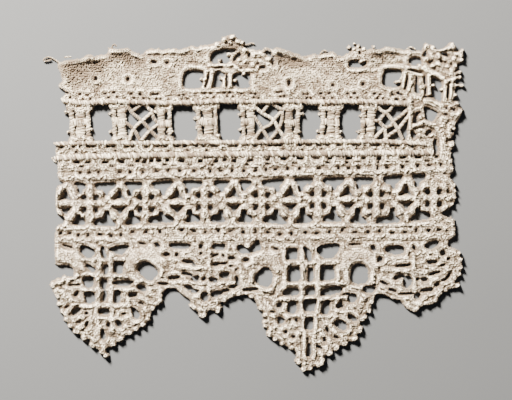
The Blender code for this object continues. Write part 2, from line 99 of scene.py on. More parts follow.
# The cloth below the stitches: how far inside the rim and under the relief it lies, its foot and its tone
CLOTH_INSET = 0.12
CLOTH_UNDER = 0.24
CLOTH_FOOT = 0.04
CLOTH_TONE = 0.46

# The least height of a thread above the floor, and how deep a roll of the torn edge is
FLOOR_GAP = 0.03
ROLL_DEPTH = 5.0

# Lumps of the relief, the height of the domed bodies, and how far the cloth sinks beside them
PEBBLE_SIZE = 1.20
PEBBLE_RISE = 0.60
DOME_RISE = 1.7
DOME_SINK = 0.25

# The width of a broad leaf, how much of the stitches shows on it, and how much the heading loses
LEAF_WIDTH = 4.4
LEAF_CALM = 0.5
HEADING_CALM = 0.35

# Stitches: their size, their spacing, the depths of the rows that follow the rims, and of the straight rows
GRAIN_LONG = 0.95
GRAIN_WIDE = 0.58
GRAIN_HIGH = 0.30
GRAIN_SUNK = 0.12
STITCH_PITCH = 0.58
ROW_STEP = 0.70
CONTOUR_ROWS = (0.48, 1.18)
STRAIGHT_FROM = 1.62
RIM_DEPTH = 0.20
RIM_PITCH = 0.64
RIM_LONG = 0.75
RIM_WIDE = 0.66
RIM_HIGH = 0.38

# Where the stitches part into pieces
HALFWAY = 73
POINTS_RISE = 3
HEADING_SPLIT = 1.5

# Threads: bars, ties, crossing threads, nets, cords, loose ends and whip stitches
BAR_SWELL = 1.08
BAR_THICK = 1.5
TIE_WIDTH = 2.9
TIE_THICK = 1.6
CROSSING_WIDTH = 1.15
CROSSING_THICK = 1.1
NET_WIDTH = 1.38
STRAND_LAY = 0.25
CORD_THICK = 2.3
CORD_PITCH = 0.86
CORD_THREAD = 0.40
CORD_SLANT = 0.75
LOOSE_WIDTH = 0.62
WHIP_PITCH = 0.78
WHIP_REACH = 1.25
WHIP_HIGH = 0.75
WHIP_RADIUS = 0.27
CORE_TONE = 0.3

# Linen: the light thread colour, the dark colour of the painted shade, the stain between them and how much of
# it shows
UPPER_COLOURS = ((0.92, 0.80, 0.60), (0.080, 0.052, 0.028), (0.66, 0.60, 0.38), 0.40)
LOWER_COLOURS = ((0.93, 0.81, 0.62), (0.083, 0.056, 0.031), (0.74, 0.62, 0.50), 0.40)
# How steeply the tone darkens the linen towards its painted shade colour, then the strengths of the key, fill
# and room lights
TONE_POWER = 2.6
KEY_POWER = 92.0
FILL_POWER = 0.4
ROOM_LIGHT = 0.10

Line = namedtuple(
    "Line", "x heading_foot row_foot cord seam whip pins star_top axis star_foot low_pins drop_top")
Gap = namedtuple("Gap", "x y wide high turn taper square")
Star = namedtuple("Star", "left right tip tip_y low_left low_right low_tip low_tip_y")
Post = namedtuple("Post", "top_x foot_x width")
Body = namedtuple("Body", "x0 y0 x1 y1 width rise")
Roll = namedtuple("Roll", "x y reach rise")


def gap(x, y, wide, high, turn=0, taper=0, square=2.4):
    """An opening by its middle, size, turn in degrees, taper and squareness."""
    return Gap(x, y, wide, high, turn, taper, square)


# The long lines of the work, one row for each place along the strip
LINES = [Line(*row) for row in (
    (5, 95.2, 79.6, 74.6, 73.4, 72.0, 70.0, 67.2, 59.0, 51.7, 48.6, 44.8),
    (15, 93.6, 80.0, 75.2, 73.4, 72.0, 69.6, 66.0, 59.2, 51.3, 47.9, 44.2),
    (25, 94.6, 80.0, 75.4, 73.4, 72.3, 69.7, 66.4, 59.2, 50.8, 47.7, 44.2),
    (35, 94.1, 79.9, 75.6, 73.6, 72.4, 69.8, 66.5, 59.3, 51.8, 49.0, 45.0),
    (45, 93.8, 80.1, 75.8, 74.1, 72.8, 70.4, 67.0, 59.2, 52.3, 49.4, 45.1),
    (55, 94.1, 80.1, 75.9, 73.9, 72.7, 70.2, 67.0, 60.0, 52.4, 49.2, 44.9),
    (65, 94.8, 80.2, 76.0, 73.9, 72.5, 70.3, 67.1, 59.9, 52.3, 49.2, 44.8),
    (75, 94.2, 80.2, 76.1, 74.1, 72.8, 70.4, 67.0, 60.1, 52.3, 49.0, 45.0),
    (85, 94.8, 80.5, 76.2, 74.6, 73.2, 71.0, 67.8, 60.0, 51.5, 48.1, 44.0),
    (95, 94.0, 80.5, 76.3, 74.7, 73.4, 71.2, 68.0, 60.5, 52.3, 48.7, 44.5),
    (105, 94.4, 80.5, 76.3, 74.8, 73.4, 71.3, 68.1, 60.5, 52.5, 49.2, 44.6),
    (115, 94.3, 80.5, 76.4, 74.8, 73.5, 71.3, 68.0, 60.3, 51.6, 49.0, 44.8),
    (125, 93.8, 80.3, 76.5, 75.0, 73.6, 71.5, 68.9, 60.8, 52.2, 48.8, 44.8),
    (135, 93.4, 79.6, 76.6, 75.3, 74.0, 72.3, 69.4, 61.2, 53.4, 49.6, 46.2),
    (145, 92.6, 79.0, 76.6, 75.3, 74.0, 72.5, 70.3, 61.3, 54.0, 50.5, 47.0),
)]

# Small openings of the heading
HEADING_GAPS = [gap(*row) for row in (
    (64.75, 101.9, 0.6, 4.4), (57.8, 101.7, 0.6, 4.8, -16), (72.6, 110.8, 0.8, 1.4),
    (77.3, 106.5, 1.9, 1.0), (80.9, 108.8, 0.6, 3.0), (75.6, 107.8, 0.8, 0.7, 30), (70.2, 106.2, 1.7, 0.4),
    (39.3, 108.4, 1.7, 0.9), (43.8, 108.0, 0.8, 0.7), (86.5, 101.0, 0.9, 1.7), (101.8, 100.2, 0.8, 0.8),
    (112.4, 100.6, 0.9, 0.9), (19.0, 102.6, 0.8, 1.1), (30.2, 102.3, 0.9, 1.1), (61.9, 106.4, 3.0, 0.3, 8),
    (111.2, 111.6, 0.8, 0.8), (127.5, 101.2, 0.6, 5.0, -12), (142.0, 97.8, 0.6, 4.2, -6),
    (130.8, 105.1, 4.6, 0.35, -16), (141.0, 110.9, 2.8, 0.9, -24), (139.6, 108.4, 0.8, 0.7),
    (141.0, 108.2, 0.8, 0.6), (143.2, 107.6, 0.4, 1.2, 10), (141.3, 90.0, 1.0, 0.5, -15),
    (141.5, 92.2, 0.5, 0.6), (144.2, 91.7, 0.7, 0.7), (136.0, 108.5, 1.8, 0.9, 30),
    (142.6, 81.1, 2.6, 0.5, 22), (143.6, 84.2, 1.0, 0.4, -20), (135.0, 96.2, 3.4, 0.35, 6),
    (124.2, 95.2, 1.2, 0.7), (124.6, 97.5, 0.6, 0.8),
)]
# Larger openings of the corner motifs and of the panel at the right end, each by its rim
WINDOWS = {
    "first window": (
        (50.0, 104.8), (51.4, 105.5), (55.8, 105.4), (56.8, 104.4), (56.4, 101.4), (55.8, 99.9),
        (54.6, 99.2), (50.4, 99.1), (49.3, 100.4), (49.5, 102.6),
    ),
    "second window": (
        (60.3, 103.4), (61.2, 104.9), (62.0, 105.7), (62.8, 104.8), (64.2, 104.2), (63.2, 103.0),
        (62.9, 99.6), (59.4, 99.2), (60.2, 101.0),
    ),
    "third window": (
        (67.0, 104.0), (68.4, 104.6), (72.9, 104.6), (72.9, 103.0), (72.3, 101.2), (72.9, 99.3),
        (69.4, 99.1), (68.4, 99.8), (66.8, 100.0), (66.7, 102.0),
    ),
    "arch": (
        (60.0, 111.7), (61.0, 112.3), (62.2, 112.3), (63.0, 113.0), (67.8, 112.9), (68.4, 112.2),
        (67.0, 111.0), (66.0, 109.4), (65.2, 108.0), (63.0, 107.9), (61.4, 108.1), (60.1, 107.7),
        (59.0, 108.8), (59.1, 110.2),
    ),
    "arch side": (
        (68.7, 111.7), (69.7, 111.2), (69.6, 110.3), (68.5, 109.8), (67.8, 108.9), (66.9, 108.5),
        (67.1, 109.9),
    ),
    "long slot": (
        (107.3, 108.6), (108.4, 109.0), (112.6, 109.0), (113.9, 108.3), (112.6, 106.7), (107.4, 106.3),
    ),
    "square window": (
        (119.9, 105.2), (120.4, 105.7), (125.4, 105.7), (126.2, 104.4), (125.8, 102.4), (125.4, 99.4),
        (119.6, 99.9), (119.1, 101.4), (119.3, 103.6),
    ),
    "round window": (
        (128.0, 108.6), (129.0, 110.1), (132.5, 109.9), (133.0, 108.4), (132.4, 107.0), (129.6, 107.3),
    ),
    "small window": (
        (133.3, 110.2), (134.8, 110.2), (134.5, 112.4), (133.5, 111.8),
    ),
    "bar gap": (
        (130.9, 103.6), (131.7, 102.6), (131.4, 100.2), (132.6, 98.1), (131.6, 97.2), (130.3, 97.9),
        (130.6, 100.4),
    ),
    "curl gap": (
        (133.2, 103.5), (134.2, 103.3), (134.5, 100.0), (134.6, 96.9), (133.6, 96.9), (133.9, 99.8),
    ),
    "tall window": (
        (136.3, 103.5), (139.4, 101.8), (140.0, 101.2), (139.8, 94.3), (138.4, 94.9), (136.5, 96.3),
        (136.3, 100.0),
    ),
    "panel window": (
        (133.6, 92.9), (135.2, 92.6), (139.2, 90.3), (137.6, 89.2), (137.2, 87.6), (134.2, 88.1),
        (133.8, 89.8),
    ),
    "leaf gap": (
        (131.2, 91.2), (132.9, 90.9), (131.4, 89.6), (131.0, 88.2), (131.8, 87.3), (129.6, 86.8),
        (130.0, 89.2),
    ),
    "wedge": (
        (128.8, 84.8), (129.1, 82.6), (130.0, 81.3), (131.2, 83.0), (129.9, 83.8),
    ),
    "trefoil gap": (
        (134.6, 84.9), (136.9, 84.3), (135.8, 83.3), (134.1, 82.3),
    ),
    "hanging loop": (
        (68.4, 44.4), (70.6, 44.4), (71.0, 43.3), (72.6, 43.0), (73.4, 44.0), (75.0, 46.1), (76.1, 45.8),
        (77.0, 43.2), (75.2, 42.2), (72.0, 41.4), (69.5, 41.4), (68.3, 42.9),
    ),
    "curved slot": (
        (91.2, 43.9), (92.8, 43.6), (94.2, 42.0), (94.5, 39.2), (93.6, 38.2), (92.7, 39.4), (92.4, 41.4),
    ),
    "tall slot": (
        (137.8, 82.0), (138.4, 79.2), (138.4, 76.4), (137.0, 76.7), (137.2, 79.0), (136.6, 80.2),
    ),
}

# Star band: one row for each wedge between two worked figures, above and below
STARS = [Star(*row) for row in (
    (11.5, 15.5, 13.4, 62.6, 10.8, 15.3, 13.0, 54.6),
    (18.5, 26.3, 22.6, 62.0, 18.2, 26.0, 22.9, 56.0),
    (29.0, 35.3, 31.0, 61.8, 29.2, 34.5, 31.5, 56.0),
    (38.5, 46.2, 42.4, 62.0, 37.5, 46.5, 41.8, 55.7),
    (49.3, 56.3, 51.3, 62.7, 50.3, 55.5, 51.8, 56.5),
    (60.2, 65.8, 62.9, 63.2, 59.0, 64.5, 62.7, 56.3),
    (69.0, 73.5, 70.8, 63.6, 68.5, 73.8, 70.7, 56.5),
    (77.0, 85.0, 82.4, 63.2, 77.5, 85.8, 81.9, 56.5),
    (88.3, 95.0, 90.7, 63.3, 88.8, 94.8, 91.3, 57.0),
    (98.3, 106.2, 102.3, 63.8, 98.3, 105.0, 102.0, 57.5),
    (109.0, 116.0, 111.0, 64.2, 107.9, 113.7, 110.5, 57.0),
    (119.3, 126.4, 123.0, 64.3, 116.8, 125.4, 122.6, 57.0),
    (129.3, 134.3, 131.3, 65.0, 128.8, 136.0, 131.5, 57.0),
)]
STAR_CENTRES = (17, 36.5, 57, 77, 96.7, 117, 137)
PEAK_CENTRES = (8.3, 27.3, 47.3, 67.2, 87.0, 107.0, 127.4)

# Square row: the buttonholed bars, their ties, and the strands of the nets
POSTS = [Post(*row) for row in (
    (10.4, 11.2, 1.7), (13.7, 13.8, 2.9), (16.1, 16.5, 1.5), (25.2, 25.9, 1.4), (28.2, 28.4, 2.9),
    (41.8, 42.0, 2.5), (44.5, 44.8, 1.2), (54.6, 55.6, 1.7), (57.6, 58.3, 2.9), (60.6, 60.9, 1.3),
    (70.2, 70.8, 1.5), (73.0, 73.3, 2.5), (86.5, 86.2, 2.6), (89.8, 88.8, 1.5), (98.4, 97.7, 1.6),
    (101.2, 101.0, 2.6), (103.8, 103.2, 1.6), (112.6, 112.0, 1.6), (115.5, 114.7, 2.5),
)]
TIES = (
    ((10.6, 87.2), (16.4, 87.4)), ((25.4, 87.6), (29.0, 87.6)), ((41.5, 86.8), (44.8, 86.8)),
    ((55.2, 87.4), (61.0, 87.4)), ((70.5, 87.4), (74.0, 87.4)), ((86.0, 87.0), (89.3, 87.0)),
    ((98.2, 87.4), (103.8, 87.4)), ((112.3, 87.4), (115.5, 87.4)),
)
NETS = (
    ((30, 94.3), (31.2, 90.7), (35.2, 87.8), (37.9, 84.6), (41.0, 81.4)),
    ((35.8, 94.2), (31.2, 90.7)),
    ((35.8, 94.2), (38.6, 90.8), (41.2, 90.9)),
    ((38.6, 90.8), (35.2, 87.8), (32.2, 85.4), (30.5, 80.8)),
    ((28.6, 87.6), (32.2, 85.4), (34.4, 80.8)),
    ((41.4, 86.9), (37.9, 84.6), (34.8, 80.9)),
    ((38.6, 90.8), (39.3, 88.3), (41.0, 86.9)),
    ((73.4, 94.2), (76.6, 90.5), (81.2, 88.4), (82.8, 84.6), (85.6, 81.0)),
    ((80.3, 94.6), (76.8, 90.4)),
    ((80.2, 94.2), (84.0, 91.4), (86.0, 92.4)),
    ((84.0, 91.3), (81.2, 88.3), (80.0, 86.2), (77.0, 85.2), (74.2, 81.2)),
    ((74.0, 89.6), (75.8, 87.2), (77.0, 85.2), (79.6, 80.9)),
    ((84.0, 91.3), (84.3, 88.6), (82.8, 84.6), (79.6, 81.0)),
    ((117.5, 94.2), (118.2, 91.5), (120.1, 90.7), (121.9, 91.4), (122.8, 94.0)),
    ((115.0, 88.0), (118.0, 87.6), (119.4, 89.8), (120.4, 90.7)),
    ((120.4, 90.7), (122.6, 87.8), (124.6, 84.8), (126.2, 81.0)),
    ((128.8, 92.8), (125.8, 89.6), (123.0, 88.0), (122.2, 86.0), (119.8, 85.3), (118.0, 87.6)),
    ((119.8, 85.3), (115.4, 80.9)),
    ((119.8, 85.3), (120.6, 80.8)),
    ((129.0, 90.4), (126.4, 87.2), (124.4, 84.6), (121.0, 82.6), (119.6, 80.9)),
)
# Small worked loops on the bars: place, and the way each points in degrees
PICOTS = (
    (8.4, 90.8, 180), (9.4, 83.9, 200), (17.4, 84.8, 0), (24.0, 90.3, 190), (23.9, 84.0, 190),
    (45.6, 84.1, 0), (53.6, 88.6, 190), (54.3, 85.4, 160), (62.0, 82.6, -30), (69.2, 90.0, 180),
    (69.2, 84.8, 180), (91.2, 90.2, 0), (90.0, 84.0, 0), (97.2, 90.1, 180), (96.4, 84.2, 180),
    (104.5, 84.0, 0), (111.6, 89.6, 180), (110.8, 84.0, 190), (55.8, 102.4, 180), (62.7, 102.8, 140),
    (67.7, 101.9, 0), (70.6, 104.2, 270), (62.2, 108.9, 90), (65.2, 111.0, 170), (123.9, 101.3, 190),
    (136.9, 100.2, 0), (139.5, 98.8, 180), (147.0, 100.1, -5), (144.6, 96.8, -20), (146.2, 104.8, 20),
    (146.2, 103.0, 0), (131.9, 107.2, 80), (111.5, 108.5, 200), (132.4, 99.5, 200), (132.0, 89.0, 200),
)
# Threads that cross the openings of the motifs
CROSSINGS = (
    ((68.4, 112.0), (66.9, 110.9), (65.2, 111.0)),
    ((66.6, 110.8), (66.3, 109.2), (66.0, 107.8)),
    ((72.6, 108.2), (74.0, 108.9), (75.4, 109.9)),
    ((77.4, 112.2), (78.5, 113.1), (79.6, 112.6), (80.8, 112.0)),
    ((126.6, 104.8), (126.2, 103.0), (125.2, 101.6), (124.0, 101.3)),
    ((131.6, 103.6), (133.0, 101.6), (133.5, 99.2), (132.8, 98.0)),
    ((133.0, 91.8), (133.4, 90.0), (133.6, 88.4)),
)

# Hanging points, from the left one to the end drop
POINT_GAPS = [gap(*row) for row in (
    (9.2, 43.9, 3.4, 0.7, -15), (15.9, 42.0, 5.2, 3.5, -24, 0.15, 3), (21.7, 41.7, 1.4, 4.7, 12),
    (27.4, 42.6, 5.4, 3.3, 10, 0.75), (17.1, 36.3, 4.3, 1.6, -36, 0.1), (22.4, 35.8, 1.8, 3.6, -8, 0.35),
    (27.0, 36.5, 3.0, 4.6, -8, 0.1, 4), (37.1, 35.3, 7.2, 5.0, -42, 0, 3.2),
    (16.4, 31.5, 3.7, 3.9, 20, 0, 3), (21.8, 30.5, 2.1, 3.8, -5, 0.45), (28.6, 31.1, 7.2, 1.9, 3, 0.2, 2),
    (16.8, 26.1, 3.6, 4.0, 8, 0, 3), (22.0, 26.4, 1.3, 3.9, -18), (26.5, 26.4, 2.2, 4.8, -4, 0, 3),
    (35.0, 29.4, 3.6, 1.9, -20), (31.8, 27.0, 2.9, 1.5), (11.6, 30.5, 4.0, 0.5, 3),
    (12.2, 27.3, 2.2, 1.2, 52), (8.9, 22.9, 1.6, 0.7, 30), (12.0, 21.4, 3.6, 1.9, 35, -0.2),
    (15.8, 20.6, 1.0, 0.9), (21.8, 21.2, 3.7, 2.1, 5, 0, 3), (28.8, 20.4, 1.6, 0.5, 20),
    (32.8, 20.6, 2.0, 4.3, 28, -0.35), (12.9, 17.5, 1.4, 0.6), (15.9, 16.8, 0.9, 1.9, -10),
    (23.4, 16.5, 1.2, 1.6), (27.0, 17.0, 1.5, 2.9, 32, -0.3), (21.4, 13.3, 1.4, 3.9, 4, -0.5),
    (34.8, 24.0, 1.9, 0.6, -15), (35.3, 44.9, 2.4, 0.5, -8), (40.4, 44.3, 2.0, 1.3, -30),
    (48.4, 44.1, 7.8, 1.8, 0, 0, 3), (55.7, 43.9, 1.4, 1.6), (61.9, 43.8, 4.6, 1.9, -3, 0, 4),
    (43.7, 41.1, 2.2, 1.3, -10), (47.3, 41.0, 1.1, 1.2), (55.7, 41.5, 0.9, 0.9), (60.7, 40.9, 2.3, 0.8, 20),
    (63.5, 40.7, 0.6, 1.0, 20), (66.4, 39.9, 2.4, 1.2), (71.5, 39.2, 1.9, 1.4), (51.0, 38.7, 3.6, 1.2, -5),
    (53.1, 37.7, 1.6, 0.6, -50), (60.9, 37.7, 2.4, 1.3, 15), (63.6, 38.0, 2.4, 0.7, 5),
    (66.2, 37.1, 1.4, 0.5), (68.0, 35.8, 0.7, 0.7), (50.9, 34.2, 3.8, 1.1, -14),
    (53.9, 32.6, 2.6, 1.9, 30, 0.4), (56.7, 32.6, 1.1, 1.6, -25), (60.0, 32.2, 2.9, 1.7, -12),
    (64.0, 33.8, 3.2, 2.4, 15, 0.3), (46.3, 33.0, 3.8, 1.3, 8), (42.4, 30.9, 4.0, 0.8, -3),
    (68.4, 31.9, 1.1, 3.4, 12), (66.9, 29.9, 2.2, 1.0, 10), (51.7, 29.3, 3.4, 1.5, -32),
    (53.6, 28.2, 2.6, 0.9, 15), (57.0, 26.4, 2.5, 3.2, 8), (61.2, 27.4, 4.4, 1.8, 16),
    (64.3, 28.5, 2.8, 1.2, 10), (73.0, 28.9, 5.6, 1.0, 5), (77.9, 33.3, 5.6, 6.8, -30, -0.2, 2.6),
    (81.8, 43.1, 1.8, 0.7, -20), (87.5, 41.2, 3.9, 4.0, 0, 0, 4), (100.3, 42.2, 7.4, 5.0, 4, 0.35, 2.6),
    (88.3, 34.1, 4.2, 5.2, 3, 0, 4.5), (94.0, 33.9, 2.1, 4.9, 0, 0, 4), (99.9, 34.5, 5.1, 5.0, 5, 0, 3.5),
    (111.1, 34.2, 6.5, 6.8, 0, 0, 2.6), (87.2, 28.0, 6.2, 2.7, 4), (94.0, 28.2, 3.2, 2.7, 5, 0, 4),
    (101.4, 28.4, 7.4, 2.9, 10), (87.6, 22.6, 3.4, 4.4, 4), (93.7, 23.3, 4.4, 4.1, 0, 0.2, 4),
    (99.4, 22.5, 2.9, 4.8, -10), (104.2, 23.4, 2.4, 2.2, 0, -0.5), (108.6, 25.9, 2.9, 3.3),
    (106.3, 27.3, 2.6, 0.6, 10), (114.5, 28.9, 4.0, 2.6, 0, 0.3), (83.1, 23.4, 1.8, 2.0),
    (83.5, 17.9, 2.3, 2.6, -30, 0.4), (80.7, 21.1, 1.5, 0.4, -15), (93.5, 16.9, 3.2, 4.2, 0, 0, 3.5),
    (89.2, 18.0, 1.3, 0.7, -45), (85.3, 14.1, 0.9, 1.2, -30), (88.0, 12.3, 1.1, 0.9),
    (104.6, 16.5, 4.8, 2.9, -28), (108.6, 18.9, 3.4, 1.8, -30), (99.9, 14.8, 0.8, 2.0, 25),
    (103.0, 12.2, 1.7, 0.9, -30), (98.9, 11.3, 0.8, 1.7, 20), (97.2, 8.7, 2.2, 0.7, -35),
    (93.5, 7.8, 1.8, 4.4, 0, -0.4), (93.1, 11.3, 0.5, 1.6), (109.5, 44.7, 4.0, 0.5, 2),
    (115.9, 43.4, 1.5, 2.2, 25), (118.2, 39.4, 1.8, 1.8), (123.6, 42.7, 7.0, 2.9, -2),
    (130.3, 43.3, 0.8, 1.8, 25), (136.4, 44.5, 5.2, 2.3, 20), (140.2, 41.6, 1.7, 2.0, 20),
    (142.2, 39.6, 1.0, 0.9), (126.4, 37.3, 5.2, 0.8, 5), (136.5, 38.5, 3.8, 1.2, 5),
    (140.2, 37.4, 1.6, 0.6, 20), (137.3, 34.6, 4.4, 0.8, 15), (124.8, 33.3, 3.8, 1.4, 18),
    (127.9, 31.6, 2.9, 4.2, -18), (131.5, 32.5, 1.2, 0.9, 30), (133.8, 32.4, 2.2, 1.5, -5),
    (142.0, 33.5, 0.9, 2.6, -35), (140.4, 32.2, 1.6, 0.6, 10), (119.7, 31.1, 2.8, 0.8, -30),
    (138.2, 30.7, 2.0, 1.3, 30), (122.7, 28.6, 3.0, 0.8, -20), (127.2, 27.4, 5.4, 0.6, 3),
    (134.6, 28.7, 4.4, 1.3, 10), (131.3, 26.6, 2.1, 2.2, -30),
)]

# Slots along the seam: place and width
SEAM_SLOTS = (
    (12.5, 2.0), (16.2, 1.4), (22.3, 2.0), (28.0, 1.6), (33.5, 1.2), (36.0, 1.0), (38.5, 1.0), (41.0, 1.4),
    (44.0, 1.0), (49.0, 1.8), (55.5, 1.6), (61.0, 1.4), (64.0, 1.0), (67.5, 1.4), (73.0, 1.8), (79.0, 0.8),
    (84.5, 2.0), (90.0, 2.2), (96.0, 1.8), (100.5, 1.2), (107.5, 1.8), (112.5, 0.8), (118.0, 1.8),
    (126.3, 1.6), (131.5, 2.0), (138.0, 1.2),
)
# Pinholes of the two plain bands, by their places along them
PINS = (
    13.6, 16.7, 20.0, 27.3, 31.0, 35.4, 40.2, 44.3, 48.3, 53.4, 59.0, 62.7, 66.6, 70.7, 74.8, 78.5, 81.7,
    86.0, 90.2, 97.0, 103.8, 107.3, 110.8, 117.5, 120.8, 126.2, 131.5, 135.5, 139.6,
)
LOW_PINS = (
    6.7, 9.8, 12.9, 16.3, 20.5, 24.3, 27.8, 31.8, 36.5, 41.4, 48.9, 53.3, 57.3, 61.8, 66.1, 70.5, 74.9,
    79.2, 83.3, 87.4, 92.2, 96.2, 100.7, 105.1, 109.6, 114.1, 118.2, 122.6, 127.0, 131.0, 135.3, 138.9,
)

# Round worked knots of the corner motifs: place and size
KNOBS = (
    (61.3, 114.6, 1.9), (63.8, 116.2, 1.9), (66.6, 117.0, 2.0), (66.0, 115.0, 1.7), (68.6, 115.4, 1.8),
    (70.2, 115.2, 1.6), (71.0, 112.6, 1.8), (76.6, 111.4, 2.0), (74.4, 111.3, 2.0), (71.2, 108.6, 1.7),
    (73.6, 107.4, 2.0), (76.4, 108.6, 1.5), (79.2, 109.4, 2.0), (68.9, 109.2, 1.5), (75.6, 106.6, 1.4),
    (107.4, 113.5, 1.6), (109.3, 114.8, 1.2), (110.7, 114.1, 1.4), (112.6, 113.0, 1.6), (109.0, 113.0, 1.2),
    (115.9, 113.5, 1.4), (134.4, 113.9, 2.2), (136.6, 113.3, 2.0), (143.2, 114.2, 2.2), (147.0, 112.4, 1.6),
    (146.4, 110.6, 1.9), (146.8, 109.0, 1.6), (138.4, 110.5, 2.2), (138.6, 107.7, 2.2), (134.4, 109.4, 1.9),
    (136.4, 107.0, 1.7), (141.6, 106.8, 1.7), (144.0, 109.6, 1.7), (144.4, 107.0, 1.5), (129.0, 101.2, 2.0),
    (132.4, 84.5, 1.8), (133.6, 84.0, 1.4), (131.8, 82.8, 1.6), (143.2, 79.7, 2.4), (140.6, 88.4, 2.8),
    (145.0, 93.7, 2.0), (146.2, 91.0, 1.8), (142.6, 92.6, 1.6), (71.9, 44.2, 2.0), (22.4, 5.7, 1.9),
    (21.0, 7.0, 1.8), (4.4, 30.4, 2.4), (6.0, 31.4, 2.0), (7.9, 32.7, 2.2), (5.0, 28.4, 2.0),
    (5.6, 26.6, 1.8), (9.4, 31.6, 1.8), (145.9, 41.6, 1.6), (146.5, 39.4, 1.7), (146.6, 36.6, 1.6),
    (146.0, 34.2, 1.6), (145.4, 30.3, 1.9), (141.2, 28.6, 1.6), (137.6, 25.0, 1.8), (134.2, 24.0, 1.7),
    (144.2, 65.4, 1.5), (144.4, 63.2, 1.4), (144.3, 61.0, 1.5), (143.4, 58.6, 1.4), (144.0, 86.8, 1.6),
    (143.8, 85.0, 1.6), (139.0, 103.6, 1.6), (143.4, 102.0, 1.6), (141.2, 83.6, 1.6),
)
# Loose ends of thread at the torn edges
LOOSE = (
    ((7.0, 107.6), (4.6, 109.3), (2.4, 110.4), (0.6, 109.5), (0.7, 108.5), (3.4, 109.2)),
    ((25.0, 112.2), (24.6, 113.6), (25.6, 114.6), (26.4, 113.6)),
    ((70.6, 114.4), (72.4, 114.6), (73.2, 115.2), (74.4, 114.7)),
    ((97.2, 111.0), (98.4, 112.6), (99.8, 112.2)), ((8.0, 109.8), (9.2, 110.2), (10.6, 110.0)),
    ((5.2, 73.4), (4.0, 74.0), (3.6, 75.2)), ((127.6, 113.0), (129.2, 113.9), (130.6, 112.8)),
)

# Torn upper edge from the left end, and the other edges of the two strips
TORN_EDGE = (
    (6.2, 105.0), (5.8, 106.2), (5.2, 107.4), (5.8, 108.0), (7.2, 108.6), (8.4, 109.0), (10.0, 108.8),
    (12.0, 109.3), (14.0, 109.4), (15.0, 110.2), (16.0, 110.9), (17.0, 111.0), (18.2, 110.6), (19.2, 110.1),
    (20.0, 110.9), (21.5, 111.0), (22.8, 111.2), (23.4, 112.2), (23.2, 113.2), (24.0, 113.6), (25.0, 112.9),
    (26.5, 113.0), (28.0, 112.8), (29.6, 113.3), (30.6, 113.1), (31.6, 112.2), (32.8, 111.7), (34.0, 111.5),
    (34.6, 110.9), (35.4, 111.4), (36.2, 112.3), (37.4, 112.9), (38.6, 113.2), (39.8, 112.8), (40.8, 113.4),
    (42.0, 112.5), (43.0, 112.6), (44.0, 113.1), (45.2, 112.9), (46.4, 113.4), (47.4, 112.8), (48.4, 112.6),
    (49.2, 113.1), (51.0, 113.4), (51.6, 114.0), (53.0, 114.2), (54.2, 113.6), (54.9, 113.8), (55.6, 114.6),
    (56.4, 114.2), (57.4, 114.8), (58.2, 114.2), (59.0, 114.8), (60.0, 114.8), (60.6, 115.5), (61.5, 115.7),
    (62.4, 115.1), (62.8, 116.2), (63.4, 117.0), (64.4, 117.1), (65.2, 117.7), (66.2, 117.8), (67.0, 118.2),
    (67.8, 117.7), (68.3, 116.8), (69.0, 116.2), (70.0, 116.1), (70.7, 115.5), (71.0, 114.7), (70.6, 114.0),
    (71.6, 113.1), (73.0, 112.9), (74.5, 112.9), (75.2, 112.4), (76.0, 112.9), (77.0, 112.2), (77.9, 111.6),
    (78.5, 111.0), (79.2, 110.4), (80.2, 110.2), (80.4, 111.4), (80.3, 112.2), (81.0, 112.7), (81.6, 113.3),
    (83.0, 113.2), (85.0, 112.6), (86.5, 112.1), (87.4, 111.8), (88.2, 111.2), (89.2, 111.3), (90.0, 111.1),
    (90.7, 110.6), (91.5, 110.4), (92.8, 110.6), (94.0, 110.8), (95.0, 111.3), (96.2, 111.1), (97.0, 110.9),
    (98.0, 111.3), (99.4, 111.7), (100.4, 111.5), (100.8, 112.2), (102.0, 112.2), (102.6, 111.6),
    (103.4, 110.8), (104.4, 110.6), (105.2, 110.5), (106.0, 111.0), (106.9, 111.6), (107.8, 111.9),
    (108.2, 112.6), (109.2, 113.6), (110.2, 114.2), (111.2, 113.8), (111.6, 113.2), (112.4, 113.6),
    (113.2, 113.1), (113.8, 112.4), (114.8, 112.9), (116.6, 113.0), (117.6, 112.6), (118.6, 112.8),
    (119.4, 113.2), (120.2, 113.9), (121.4, 113.4), (123.0, 113.3), (124.8, 113.2), (126.2, 112.6),
    (127.2, 112.6), (127.8, 113.2), (129.0, 112.9), (129.6, 112.2), (131.0, 112.5), (132.4, 112.6),
    (132.8, 111.9),
)
UPPER_RIGHT_EDGE = (
    (133.2, 113.6), (133.8, 114.6), (134.8, 115.0), (135.8, 114.4), (136.8, 114.3), (137.6, 113.6),
    (137.6, 112.8), (138.8, 112.7), (140.2, 113.2), (141.4, 113.8), (142.0, 114.7), (143.2, 115.1),
    (144.4, 114.7), (144.8, 113.8), (144.6, 112.9), (145.2, 112.0), (146.0, 112.7), (147.0, 113.0),
    (147.8, 112.4), (147.4, 111.4), (147.8, 110.4), (147.7, 109.2), (147.0, 108.2), (145.6, 107.8),
    (145.2, 107.0), (145.4, 106.2), (144.6, 105.4), (144.6, 104.2), (145.0, 102.4), (144.8, 101.6),
    (145.2, 99.0), (144.3, 98.6), (144.6, 96.2), (143.8, 94.8), (145.0, 94.8), (146.2, 94.0), (146.4, 92.8),
    (147.3, 92.2), (147.2, 90.6), (146.4, 89.2), (145.4, 87.6), (144.6, 86.6), (144.9, 85.2), (144.7, 84.0),
    (143.8, 82.6), (143.6, 81.6), (144.4, 80.6), (144.6, 79.2), (143.6, 77.8), (142.9, 77.2), (143.6, 76.2),
)
UPPER_LEFT_EDGE = (
    (7.0, 95.0), (7.4, 96.6), (8.3, 97.2), (8.2, 98.1), (7.2, 98.7), (6.0, 99.4), (5.6, 100.2), (6.2, 101.1),
    (7.2, 101.3), (7.0, 102.8), (6.6, 104.0),
)
ROW_RIGHT = 127.9
